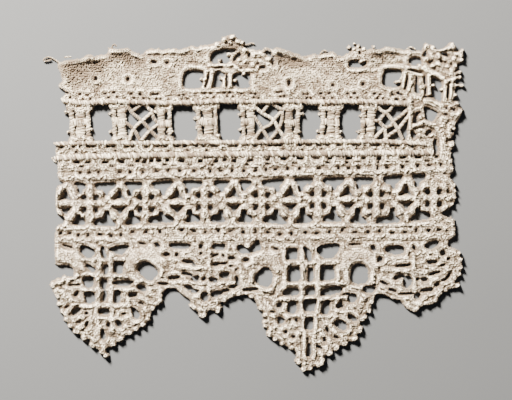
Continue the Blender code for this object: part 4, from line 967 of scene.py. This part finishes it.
class Field:
    """The worked area, how deep each place of it lies, its relief, and the shade painted into its hollows."""

    def __init__(self):
        x, y = np.meshgrid(X_CELLS, Y_CELLS)
        self.depth = np.maximum(blurred(depth_of(worked_cells(x, y)), 2) - EDGE_TRIM, 0)
        self.plain = plainness(x, y)
        worked = self.depth > 0
        part = np.clip(self.depth / BODY_RADIUS, 0, 1)
        body = cloth_height(x, y, self.depth, part)
        rise = domes(x, y)
        near = np.clip(3 * blurred((rise > 0).astype(float), 50), 0, 1)
        domed = body * (1 - DOME_SINK * near) + DOME_RISE * rise * np.clip(self.depth / 0.5, 0, 1)
        body = np.where(worked, domed, body)
        self.under = blurred(body, 4) + lift(x, y)
        level = blurred(np.where(worked, body, 0.0), 60) / (blurred(worked.astype(float), 60) + 1e-3)
        fine = 0.6 - (pebbles(x, y, PEBBLE_SIZE, 4) / 0.7) ** 2
        broad = 0.6 - (pebbles(x, y, 1.7 * PEBBLE_SIZE, 9) / 0.7) ** 2
        lumps = part * self.plain * PEBBLE_RISE * blurred(0.6 * fine + 0.5 * broad, 3)
        # Painted shade: places lower than the level round them, and the cracks between the lumps, get a
        # darker tone; the soft shades darken it further
        light = 0.54 + 0.10 * self.plain + 0.9 * (body - level) + (0.9 * self.plain - 0.10) * lumps
        self.painted_shade = np.clip(light, 0, 1) * shades(x, y)
        self.height = body + lumps + lift(x, y)


def contours(field, level):
    """Chains of points where the field crosses the level, each a closed ring or an open line."""
    above = field > level
    links = {}
    place = {}

    def cross(a, b):
        """Notes where the level lies between two cells, and gives that place's key."""
        key = (a, b) if a < b else (b, a)
        if key not in place:
            fa, fb = field[a], field[b]
            t = (level - fa) / (fb - fa)
            place[key] = (X_CELLS[a[1]] + t * (b[1] - a[1]) * CELL, Y_CELLS[a[0]] + t * (b[0] - a[0]) * CELL)
        return key

    code = (above[:-1, :-1].astype(int) + 2 * above[:-1, 1:] + 4 * above[1:, 1:] + 8 * above[1:, :-1])
    for j, i in zip(*np.nonzero((code > 0) & (code < 15))):
        j, i = int(j), int(i)
        corner = [(j, i), (j, i + 1), (j + 1, i + 1), (j + 1, i)]
        up = [bool(above[c]) for c in corner]
        edges = [cross(corner[k], corner[(k + 1) % 4]) for k in range(4) if up[k] != up[(k + 1) % 4]]
        for k in range(0, len(edges), 2):
            a, b = edges[k], edges[k + 1]
            links.setdefault(a, []).append(b)
            links.setdefault(b, []).append(a)
    chains = []
    while links:
        start = next(iter(links))
        chain = [start]
        here = start
        while links.get(here):
            there = links[here].pop()
            links[there].remove(here)
            if not links[here]:
                del links[here]
            here = there
            if here == start:
                break
            chain.append(here)
        if here in links and not links[here]:
            del links[here]
        if len(chain) > 7:
            chains.append(np.array([place[key] for key in chain]))
    return chains


class Threads:
    """Triangles of many small threads, gathered to be one mesh."""

    def __init__(self):
        self.points, self.faces, self.tones, self.count = [], [], [], 0

    def add(self, points, faces, tones):
        """Adds points with their faces and tones."""
        self.points.append(points.reshape(-1, 3))
        self.faces.append(faces.reshape(-1, 3) + self.count)
        self.tones.append(np.broadcast_to(tones, points.shape[:-1]).reshape(-1))
        self.count += len(self.points[-1])

    def tubes(self, paths, radii, sides=5, tone=None):
        """One tube along each path of an N x M x 3 array, closed by its thin ends, with painted shade on its
        underside.
        """
        paths = np.asarray(paths, float)
        n, m, _ = paths.shape
        radii = np.broadcast_to(radii, (n, m))
        run = np.gradient(paths, axis=1)
        run /= np.maximum(np.linalg.norm(run, axis=2, keepdims=True), 1e-9)
        across = np.cross(run, (0.0, 0.0, 1.0))
        flat = np.linalg.norm(across, axis=2, keepdims=True)
        across = np.where(flat < 0.05, (1.0, 0.0, 0.0), across / np.maximum(flat, 1e-9))
        up = np.cross(across, run)
        turn = 2 * math.pi * np.arange(sides) / sides
        ring = (
            across[:, :, None, :] * np.cos(turn)[None, None, :, None]
            + up[:, :, None, :] * np.sin(turn)[None, None, :, None]
        )
        points = paths[:, :, None, :] + ring * radii[:, :, None, None]
        index = np.arange(n * m * sides).reshape(n, m, sides)
        a, b = index[:, :-1], index[:, 1:]
        c, d = np.roll(b, -1, axis=2), np.roll(a, -1, axis=2)
        faces = quads(a, b, c, d)
        if tone is None:
            tone = RNG.uniform(0.35, 0.72, (n, 1, 1))
        points[..., 2] = np.maximum(points[..., 2], FLOOR_GAP)
        # Painted shade: each tube's tone is lighter on its upper side and darker underneath
        self.add(points, faces, tone * (0.62 + 0.38 * np.sin(turn))[None, None, :] * np.ones((n, m, 1)))

    def object(self, name, material, slot_name):
        """The threads as one piece of the scene."""
        points = np.concatenate(self.points)
        faces = np.concatenate(self.faces)
        tones = np.concatenate(self.tones)
        return mesh_piece(name, points, faces, tones, material, slot_name)


def quads(a, b, c, d):
    """Two triangles for each four corners, given in turn round them."""
    return np.concatenate([np.stack([a, b, c], -1).reshape(-1, 3), np.stack([a, c, d], -1).reshape(-1, 3)])


def mesh_piece(name, points, faces, tones, material, slot_name):
    """A smooth mesh from chart points in millimetres, riding on the root."""
    mesh = bpy.data.meshes.new(name)
    mesh.vertices.add(len(points))
    world = (points - (MIDDLE_X, MIDDLE_Y, 0.0)) * MM
    mesh.vertices.foreach_set("co", world.astype(np.float32).ravel())
    mesh.loops.add(3 * len(faces))
    mesh.loops.foreach_set("vertex_index", faces.astype(np.int32).ravel())
    mesh.polygons.add(len(faces))
    mesh.polygons.foreach_set("loop_start", np.arange(0, 3 * len(faces), 3, dtype=np.int32))
    mesh.polygons.foreach_set("use_smooth", np.ones(len(faces), bool))
    # The tone holds painted shade (hollows, stitch feet, thread undersides) mixed with each thread's own
    # random tone
    tone = mesh.attributes.new("tone", "FLOAT", "POINT")
    tone.data.foreach_set("value", tones.astype(np.float32))
    mesh.update(calc_edges=True)
    mesh.validate()
    mesh.materials.append(material)
    piece = bpy.data.objects.new(name, mesh)
    bpy.context.scene.collection.objects.link(piece)
    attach(piece, "root")
    return piece


def grains(threads, field, x, y, turn, long, wide, high):
    """Short raised stitches on the relief, each along its own direction, with painted shade at their feet and
    in the hollows.
    """
    n = len(x)
    u = np.array([-0.5, -0.28, -0.28, -0.28, -0.28, 0.0, 0.0, 0.0, 0.0, 0.28, 0.28, 0.28, 0.28, 0.5])
    v = np.array([0.0, -0.42, -0.2, 0.2, 0.42, -0.5, -0.25, 0.25, 0.5, -0.42, -0.2, 0.2, 0.42, 0.0])
    w = np.array([-0.1, -0.2, 0.8, 0.8, -0.2, -0.2, 1.0, 1.0, -0.2, -0.2, 0.8, 0.8, -0.2, -0.1])
    faces = np.array([
        (0, 2, 1), (0, 3, 2), (0, 4, 3), (1, 2, 6), (1, 6, 5), (2, 3, 7), (2, 7, 6), (3, 4, 8), (3, 8, 7),
        (5, 6, 10), (5, 10, 9), (6, 7, 11), (6, 11, 10), (7, 8, 12), (7, 12, 11), (9, 10, 13), (10, 11, 13),
        (11, 12, 13),
    ])
    lx = u[None, :] * np.broadcast_to(long, (n,))[:, None]
    ly = v[None, :] * np.broadcast_to(wide, (n,))[:, None]
    c, s = np.cos(turn)[:, None], np.sin(turn)[:, None]
    px = x[:, None] + lx * c - ly * s
    py = y[:, None] + lx * s + ly * c
    plain = sample(field.plain, x, y)[:, None]
    pz = sample(field.height, px, py) - GRAIN_SUNK + w[None, :] * plain * np.broadcast_to(high, (n,))[:, None]
    points = np.stack([px, py, np.maximum(pz, FLOOR_GAP)], axis=2)
    index = (np.arange(n)[:, None, None] * len(u) + faces[None]).reshape(-1, 3)
    # Painted shade: the field's shaded hollows, and a darker foot low on each stitch; the random factor is
    # each stitch's own tone
    deep = sample(field.painted_shade, px, py)
    foot = 1 - 0.52 * plain * (1 - np.clip(w, 0, 1))[None, :]
    tone = foot * deep * (1 - 0.40 * plain * RNG.uniform(0, 1.0, (n, 1)))
    threads.add(points, index, tone)


def ground(field, name, inside, material, slot_name):
    """The closed cloth under the stitches, on a square net of cells."""
    depth = field.depth[::CLOTH_STEP, ::CLOTH_STEP]
    height = field.under[::CLOTH_STEP, ::CLOTH_STEP]
    x, y = np.meshgrid(X_CELLS[::CLOTH_STEP], Y_CELLS[::CLOTH_STEP])
    held = (depth > CLOTH_INSET) & inside(x, y)
    cell = held[:-1, :-1] & held[:-1, 1:] & held[1:, 1:] & held[1:, :-1]
    used = np.zeros(held.shape, bool)
    for dj, di in ((0, 0), (0, 1), (1, 1), (1, 0)):
        used[dj:dj + cell.shape[0], di:di + cell.shape[1]] |= cell
    index = np.full(held.shape, -1)
    index[used] = np.arange(used.sum())
    count = int(used.sum())
    top = np.stack([x[used], y[used], height[used] - CLOTH_UNDER], axis=1)
    low = np.stack([x[used], y[used], CLOTH_FOOT + lift(x[used], y[used])], axis=1)
    j, i = np.nonzero(cell)
    a, b, c, d = index[j, i], index[j, i + 1], index[j + 1, i + 1], index[j + 1, i]
    faces = [np.stack([a, b, c], 1), np.stack([a, c, d], 1)]
    faces += [np.stack([c, b, a], 1) + count, np.stack([d, c, a], 1) + count]
    padded = np.pad(cell, 1)
    for dj, di, p, q in ((-1, 0, a, b), (1, 0, c, d), (0, 1, b, c), (0, -1, d, a)):
        open_side = ~padded[j + 1 + dj, i + 1 + di]
        p, q = p[open_side], q[open_side]
        faces += [np.stack([q, p, p + count], 1), np.stack([q, p + count, q + count], 1)]
    points = np.concatenate([top, low])
    tones = np.full(len(points), CLOTH_TONE)
    piece = mesh_piece(name, points, np.concatenate(faces), tones, material, slot_name)
    area = float(cell.sum()) * (CLOTH_STEP * CELL * MM) ** 2
    return piece, area


def wrapped(threads, path, width, thick, pitch=0.50, thread=0.28, slant=0.3, lay=0.0):
    """A worked bar: a flat core with threads wound close over it."""
    path = resampled(smoothed(path), 0.5)
    z = lift(path[:, 0], path[:, 1]) + thick / 2 + lay
    core = np.column_stack([path, z])
    run = np.gradient(path, axis=0)
    run /= np.maximum(np.linalg.norm(run, axis=1, keepdims=True), 1e-9)
    side = np.stack([-run[:, 1], run[:, 0]], axis=1)
    turn = np.linspace(0, 2 * math.pi, 9)[:-1]
    out = side[:, None, :] * (np.cos(turn) * width * 0.40)[None, :, None]
    up = np.broadcast_to((np.sin(turn) * thick * 0.38)[None, :, None], (len(core), 8, 1))
    ring = core[:, None, :] + np.concatenate([out, up], axis=2)
    index = np.arange(len(core) * 8).reshape(len(core), 8)
    a, b = index[:-1], index[1:]
    c, d = np.roll(b, -1, axis=1), np.roll(a, -1, axis=1)
    threads.add(ring, quads(c, b, a, d), CORE_TONE)
    spots = resampled(np.column_stack([core, side, run]), pitch)
    n = len(spots)
    wind = np.linspace(-0.15, math.pi + 0.15, 7)
    swell = 0.12 * np.sin(np.arange(n) * pitch * 1.3 + RNG.uniform(0, 6)) + 0.07 * RNG.standard_normal(n)
    wide = width / 2 * (1 + swell)[:, None]
    lean = slant * (1 + 0.5 * RNG.standard_normal((n, 1)))
    shift = np.linspace(-1, 1, 7)[None, :] * lean + RNG.normal(0, 0.07, (n, 1))
    across = np.cos(wind)[None, :] * (wide - thread * 0.6)
    px = spots[:, 0:1] + spots[:, 3:4] * across + spots[:, 5:6] * shift
    py = spots[:, 1:2] + spots[:, 4:5] * across + spots[:, 6:7] * shift
    over = np.sin(wind)[None, :] * (thick / 2 - thread * 0.5)
    pz = spots[:, 2:3] + over + 0.04 * RNG.standard_normal((n, 1))
    size = thread * (1 + 0.12 * RNG.standard_normal((n, 1))) * np.array([0.5, 1, 1, 1, 1, 1, 0.5])
    threads.tubes(np.stack([px, py, pz], axis=2), size)


def twisted(threads, path, width, lay=0.5, plies=2, pitch=1.5):
    """A strand of plies twisted round each other."""
    path = resampled(smoothed(path), 0.2)
    run = np.gradient(path, axis=0)
    run /= np.maximum(np.linalg.norm(run, axis=1, keepdims=True), 1e-9)
    side = np.stack([-run[:, 1], run[:, 0]], axis=1)
    length = np.arange(len(path)) * 0.2
    z = lift(path[:, 0], path[:, 1]) + lay + width / 2
    phase = RNG.uniform(0, 6)
    for ply in range(plies):
        turn = 2 * math.pi * (length / pitch + ply / plies) + phase
        off = np.cos(turn) * width * 0.26
        points = np.column_stack([path + side * off[:, None], z + np.sin(turn) * width * 0.26])
        size = np.full(len(path), width * 0.27)
        size[[0, -1]] = 0.05
        threads.tubes(points[None], size[None], 6)


def stitch_rows(field):
    """Places, directions and sizes of the stitches: rows round each rim, then straight rows further in."""
    found = []
    for level in CONTOUR_ROWS:
        for chain in contours(field.depth, level):
            chain = resampled(chain, STITCH_PITCH, True)
            if len(chain) < 4:
                continue
            run = np.roll(chain, -1, 0) - np.roll(chain, 1, 0)
            turn = np.arctan2(run[:, 1], run[:, 0]) + math.pi / 2
            found.append(np.column_stack([chain, turn, np.full(len(chain), GRAIN_LONG)]))
    rows = np.arange(-4.0, 120.0, ROW_STEP)
    places = []
    for k, y in enumerate(rows):
        x = np.arange(4.0 + 0.33 * (k % 2), 148.0, STITCH_PITCH)
        places.append(np.column_stack([x, y + at("seam", x) - 74.0 + 0.25 * waves(x, y, 9.0, 5)]))
    places = np.concatenate(places)
    places += RNG.normal(0, 0.16, places.shape)
    deep = sample(field.depth, places[:, 0], places[:, 1])
    places = places[deep > STRAIGHT_FROM]
    turn = 1.15 + 0.9 * waves(places[:, 0], places[:, 1], 8.0, 6) + RNG.normal(0, 0.35, len(places))
    found.append(np.column_stack([places, turn, np.full(len(places), 0.9 * GRAIN_LONG)]))
    return np.concatenate(found)


def shader_group(name, inputs, outputs):
    """An empty shader node group with the given sockets."""
    group = bpy.data.node_groups.new(name, "ShaderNodeTree")
    for socket, kind, value in inputs:
        made = group.interface.new_socket(socket, in_out="INPUT", socket_type=kind)
        made.default_value = value
    for socket, kind in outputs:
        group.interface.new_socket(socket, in_out="OUTPUT", socket_type=kind)
    return group, group.nodes.new("NodeGroupInput"), group.nodes.new("NodeGroupOutput")


def linen_group():
    """Colour, roughness and bump height of old linen thread; the colour is darkened towards the painted shade
    colour where the tone is low.
    """
    group, given, out = shader_group(
        "aged linen",
        [("Light", "NodeSocketColor", (0.80, 0.74, 0.62, 1)),
         ("Painted shade", "NodeSocketColor", (0.40, 0.33, 0.24, 1)),
         ("Stain", "NodeSocketColor", (0.60, 0.56, 0.36, 1)), ("Soil", "NodeSocketFloat", 0.3)],
        [("Colour", "NodeSocketColor"), ("Roughness", "NodeSocketFloat"), ("Height", "NodeSocketFloat")],
    )
    nodes, link = group.nodes, group.links.new

    def noise(scale, detail, rough=0.55):
        """Noise in the object's own metres."""
        node = nodes.new("ShaderNodeTexNoise")
        node.inputs["Scale"].default_value = scale
        node.inputs["Detail"].default_value = detail
        node.inputs["Roughness"].default_value = rough
        link(where.outputs["Object"], node.inputs["Vector"])
        return node.outputs["Fac"]

    def ranged(value, low, high, to_low=0.0, to_high=1.0):
        """A value moved from one range to another."""
        node = nodes.new("ShaderNodeMapRange")
        node.inputs["From Min"].default_value = low
        node.inputs["From Max"].default_value = high
        node.inputs["To Min"].default_value = to_low
        node.inputs["To Max"].default_value = to_high
        link(value, node.inputs["Value"])
        return node.outputs["Result"]

    def maths(operation, *values):
        """One step of arithmetic on sockets and numbers."""
        node = nodes.new("ShaderNodeMath")
        node.operation = operation
        for value, socket in zip(values, node.inputs):
            if isinstance(value, float):
                socket.default_value = value
            else:
                link(value, socket)
        return node.outputs[0]

    def mixed(factor, a, b):
        """A colour between two others."""
        node = nodes.new("ShaderNodeMix")
        node.data_type = "RGBA"
        link(factor, node.inputs["Factor"])
        link(a, node.inputs["A"])
        link(b, node.inputs["B"])
        return node.outputs["Result"]

    where = nodes.new("ShaderNodeTexCoord")
    tone = nodes.new("ShaderNodeAttribute")
    tone.attribute_name = "tone"
    broad = noise(38.0, 3.0)
    middle = noise(260.0, 4.0)
    fibre = noise(5200.0, 3.0, 0.7)
    fleck = noise(900.0, 2.0)
    soiled = maths("MULTIPLY", ranged(broad, 0.45, 0.72), given.outputs["Soil"])
    base = mixed(soiled, given.outputs["Light"], given.outputs["Stain"])
    # Painted shade: a low tone mixes in more of the painted shade colour
    lit = maths("POWER", ranged(tone.outputs["Fac"], 0.06, 0.80), TONE_POWER)
    spread = maths("SUBTRACT", lit, ranged(middle, 0.38, 0.72, 0.0, 0.22))
    spread = maths("SUBTRACT", spread, ranged(fleck, 0.50, 0.75, 0.0, 0.16))
    link(mixed(spread, given.outputs["Painted shade"], base), out.inputs["Colour"])
    link(ranged(fibre, 0.3, 0.7, 0.84, 0.98), out.inputs["Roughness"])
    link(maths("MULTIPLY_ADD", noise(1500.0, 2.0), 4.0, fibre), out.inputs["Height"])
    return group


def linen(name, light, shade_colour, stain, soil):
    """A material of aged linen thread, with the colour of its painted shade."""
    material = bpy.data.materials.new(name)
    material.use_nodes = True
    nodes, link = material.node_tree.nodes, material.node_tree.links.new
    shader = nodes["Principled BSDF"]
    group = nodes.new("ShaderNodeGroup")
    group.node_tree = bpy.data.node_groups.get("aged linen") or linen_group()
    group.inputs["Light"].default_value = (*light, 1)
    group.inputs["Painted shade"].default_value = (*shade_colour, 1)
    group.inputs["Stain"].default_value = (*stain, 1)
    group.inputs["Soil"].default_value = soil
    bump = nodes.new("ShaderNodeBump")
    bump.inputs["Strength"].default_value = 0.5
    bump.inputs["Distance"].default_value = 0.00012
    link(group.outputs["Colour"], shader.inputs["Base Color"])
    link(group.outputs["Roughness"], shader.inputs["Roughness"])
    link(group.outputs["Height"], bump.inputs["Height"])
    link(bump.outputs["Normal"], shader.inputs["Normal"])
    shader.inputs["Sheen Weight"].default_value = 0.15
    shader.inputs["Sheen Roughness"].default_value = 0.5
    return material


def floor():
    """The plain pale surface that the fragment lies on."""
    bpy.ops.mesh.primitive_plane_add(size=3.0, location=(0, 0, -0.00002))
    plane = bpy.context.object
    plane.name = "floor"
    material = bpy.data.materials.new("floor")
    material.use_nodes = True
    nodes, link = material.node_tree.nodes, material.node_tree.links.new
    shader = nodes["Principled BSDF"]
    grain = nodes.new("ShaderNodeTexNoise")
    grain.inputs["Scale"].default_value = 30.0
    ramp = nodes.new("ShaderNodeValToRGB")
    ramp.color_ramp.elements[0].color = (0.049, 0.051, 0.053, 1)
    ramp.color_ramp.elements[1].color = (0.055, 0.057, 0.059, 1)
    link(grain.outputs["Fac"], ramp.inputs["Fac"])
    link(ramp.outputs["Color"], shader.inputs["Base Color"])
    shader.inputs["Roughness"].default_value = 0.9
    plane.data.materials.append(material)
    plane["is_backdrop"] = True


def area_light(name, place, size, power, colour):
    """A soft light that faces the middle of the fragment."""
    light = bpy.data.lights.new(name, "AREA")
    light.shape = "RECTANGLE"
    light.size, light.size_y = size
    light.energy = power
    light.color = colour
    lamp = bpy.data.objects.new(name, light)
    lamp.location = place
    lamp.rotation_mode = "QUATERNION"
    lamp.rotation_quaternion = (-lamp.location).to_track_quat("-Z", "Y")
    bpy.context.scene.collection.objects.link(lamp)


def studio():
    """The camera straight above, one soft light from the upper left and a weak fill."""
    camera = bpy.data.cameras.new("camera")
    camera.lens = 100
    camera.sensor_width = 36
    eye = bpy.data.objects.new("camera", camera)
    far = VIEW_WIDTH * MM * camera.lens / camera.sensor_width
    eye.location = ((VIEW_X - MIDDLE_X) * MM, (VIEW_Y - MIDDLE_Y) * MM, far)
    bpy.context.scene.collection.objects.link(eye)
    bpy.context.scene.camera = eye
    area_light("key", (-0.34, 0.50, 0.40), (0.14, 0.14), KEY_POWER, (1.0, 0.95, 0.87))
    area_light("fill", (0.5, -0.35, 0.6), (0.7, 0.7), FILL_POWER, (0.94, 0.97, 1.0))
    world = bpy.data.worlds.new("soft room")
    world.use_nodes = True
    background = world.node_tree.nodes["Background"]
    background.inputs["Color"].default_value = (0.9, 0.93, 1.0, 1)
    background.inputs["Strength"].default_value = ROOM_LIGHT
    bpy.context.scene.world = world


def upper_side(x, y):
    """Whether a place is on the upper strip."""
    return y > at("seam", x)


def lower_side(x, y):
    """Whether a place is on the lower strip."""
    return y <= at("seam", x)


class Strips:
    """The linen of the two strips, and the pieces of each strip."""

    def __init__(self):
        self.linens = {
            "upper": (linen("upper linen", *UPPER_COLOURS), "upper_linen"),
            "lower": (linen("lower linen", *LOWER_COLOURS), "lower_linen"),
        }
        self.pieces = {"upper": [], "lower": []}

    def keep(self, strip, name, threads):
        """Makes the threads a piece of the strip."""
        self.pieces[strip].append(threads.object(name, *self.linens[strip]))


def stitches(strips, field):
    """The stitches of the heading, the bands, the star band and the points."""
    rows = stitch_rows(field)
    x, y = rows[:, 0], rows[:, 1]
    level = at("seam", x)
    heading = at("heading_foot", x) - HEADING_SPLIT
    points = at("drop_top", x) + POINTS_RISE
    places = {
        ("upper", "heading_stitches"): y > heading,
        ("upper", "band_stitches"): (y > level) & (y <= heading),
        ("lower", "star_stitches"): (y <= level) & (y > points),
        ("lower", "left_point_stitches"): (y <= points) & (x < HALFWAY),
        ("lower", "right_point_stitches"): (y <= points) & (x >= HALFWAY),
    }
    for (strip, name), chosen in places.items():
        threads = Threads()
        x, y, turn, size = rows[chosen].T
        turn = turn + RNG.normal(0, 0.22, len(x))
        grains(threads, field, x, y, turn, size * RNG.uniform(0.8, 1.2, len(x)),
               GRAIN_WIDE * RNG.uniform(0.8, 1.25, len(x)), GRAIN_HIGH * RNG.uniform(0.7, 1.3, len(x)))
        strips.keep(strip, name, threads)


def rim_stitches(strips, field, strip):
    """The row of stitches along every rim of a strip."""
    threads = Threads()
    for chain in contours(field.depth, RIM_DEPTH):
        if (chain[0, 1] > at("seam", chain[0, 0])) != (strip == "upper"):
            continue
        chain = resampled(chain, RIM_PITCH, True)
        n = len(chain)
        if n < 3:
            continue
        run = np.roll(chain, -1, 0) - np.roll(chain, 1, 0)
        turn = np.arctan2(run[:, 1], run[:, 0]) + math.pi / 2 + RNG.normal(0, 0.15, n)
        chain = chain + RNG.normal(0, 0.09, chain.shape)
        grains(threads, field, chain[:, 0], chain[:, 1], turn, RIM_LONG * RNG.uniform(0.8, 1.3, n),
               RIM_WIDE * RNG.uniform(0.85, 1.2, n), RIM_HIGH * RNG.uniform(0.7, 1.3, n))
    strips.keep(strip, strip + "_rims", threads)


def worked_bars(strips):
    """The buttonholed bars of the square row, their ties, and the threads across the openings."""
    threads = Threads()
    for post in POSTS:
        top = (post.top_x, float(at("heading_foot", post.top_x)) - 0.3)
        foot = (post.foot_x, float(at("row_foot", post.foot_x)) + 0.3)
        middle = (0.5 * (post.top_x + post.foot_x) + RNG.normal(0, 0.22), 0.5 * (top[1] + foot[1]))
        wrapped(threads, (top, middle, foot), BAR_SWELL * post.width, BAR_THICK)
    for tie in TIES:
        wrapped(threads, tie, TIE_WIDTH, TIE_THICK, 0.5)
    for path in CROSSINGS:
        wrapped(threads, path, CROSSING_WIDTH, CROSSING_THICK)
    strips.keep("upper", "worked_bars", threads)


def net_strands(strips):
    """The twisted strands of the three nets."""
    threads = Threads()
    for strand in NETS:
        twisted(threads, smoothed(strand, 1), NET_WIDTH, STRAND_LAY)
    strips.keep("upper", "net_strands", threads)


def whipped_cords(strips):
    """The three thick cords, each by its line, its two ends and its width."""
    threads = Threads()
    for name, x0, x1, width in (
        ("heading_foot", 7.6, 128.5, 1.9),
        ("row_foot", 5.2, 134.0, 1.7),
        ("cord", 5.0, 136.5, 2.3),
    ):
        path = along(name, x0, x1, 0.0, 6.0)
        wrapped(threads, path, width, CORD_THICK, CORD_PITCH, CORD_THREAD, CORD_SLANT)
    strips.keep("upper", "whipped_cords", threads)


def loose_ends(strips):
    """The loose ends of thread at the torn edges."""
    threads = Threads()
    for strand in LOOSE:
        twisted(threads, strand, LOOSE_WIDTH, STRAND_LAY)
    strips.keep("upper", "loose_ends", threads)


def whip_stitches(strips):
    """The stitches that join the strips, left out where the seam is open."""
    threads = Threads()
    x = np.arange(6.0, 143.0, WHIP_PITCH)
    open_here = np.zeros(len(x), bool)
    for slot_x, wide in SEAM_SLOTS:
        open_here |= np.abs(x - slot_x) < wide / 2 + 0.2
    x = x[~open_here]
    wind = np.linspace(0, math.pi, 7)
    y = at("seam", x)[:, None] - np.cos(wind)[None, :] * WHIP_REACH
    px = x[:, None] + np.linspace(-0.25, 0.25, 7)[None, :] + RNG.normal(0, 0.05, (len(x), 1))
    pz = WHIP_HIGH + WHIP_HIGH * np.sin(wind)[None, :] + np.zeros((len(x), 1))
    threads.tubes(np.stack([px, y, pz], axis=2), WHIP_RADIUS)
    strips.keep("lower", "whip_stitches", threads)


def cloths(strips, field):
    """The cloth of each strip, which replaces its solid."""
    for strip, side in (("upper", upper_side), ("lower", lower_side)):
        piece, area = ground(field, strip + "_ground", side, *strips.linens[strip])
        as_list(strips.pieces[strip])
        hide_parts(strip + "_strip")


def main():
    """Builds the whole scene on the solids' frame."""
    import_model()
    cad = [list(map(float, corner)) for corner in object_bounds()]
    studio()
    floor()
    strips = Strips()
    field = Field()
    stitches(strips, field)
    for strip in ("upper", "lower"):
        rim_stitches(strips, field, strip)
    worked_bars(strips)
    net_strands(strips)
    whipped_cords(strips)
    loose_ends(strips)
    whip_stitches(strips)
    cloths(strips, field)
    seen = [list(map(float, corner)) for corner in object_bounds()]
    ({"cad": cad, "visual": seen, "n": {
        o.name: len(o.data.polygons) for o in bpy.data.objects if o.type == "MESH"}})


main()
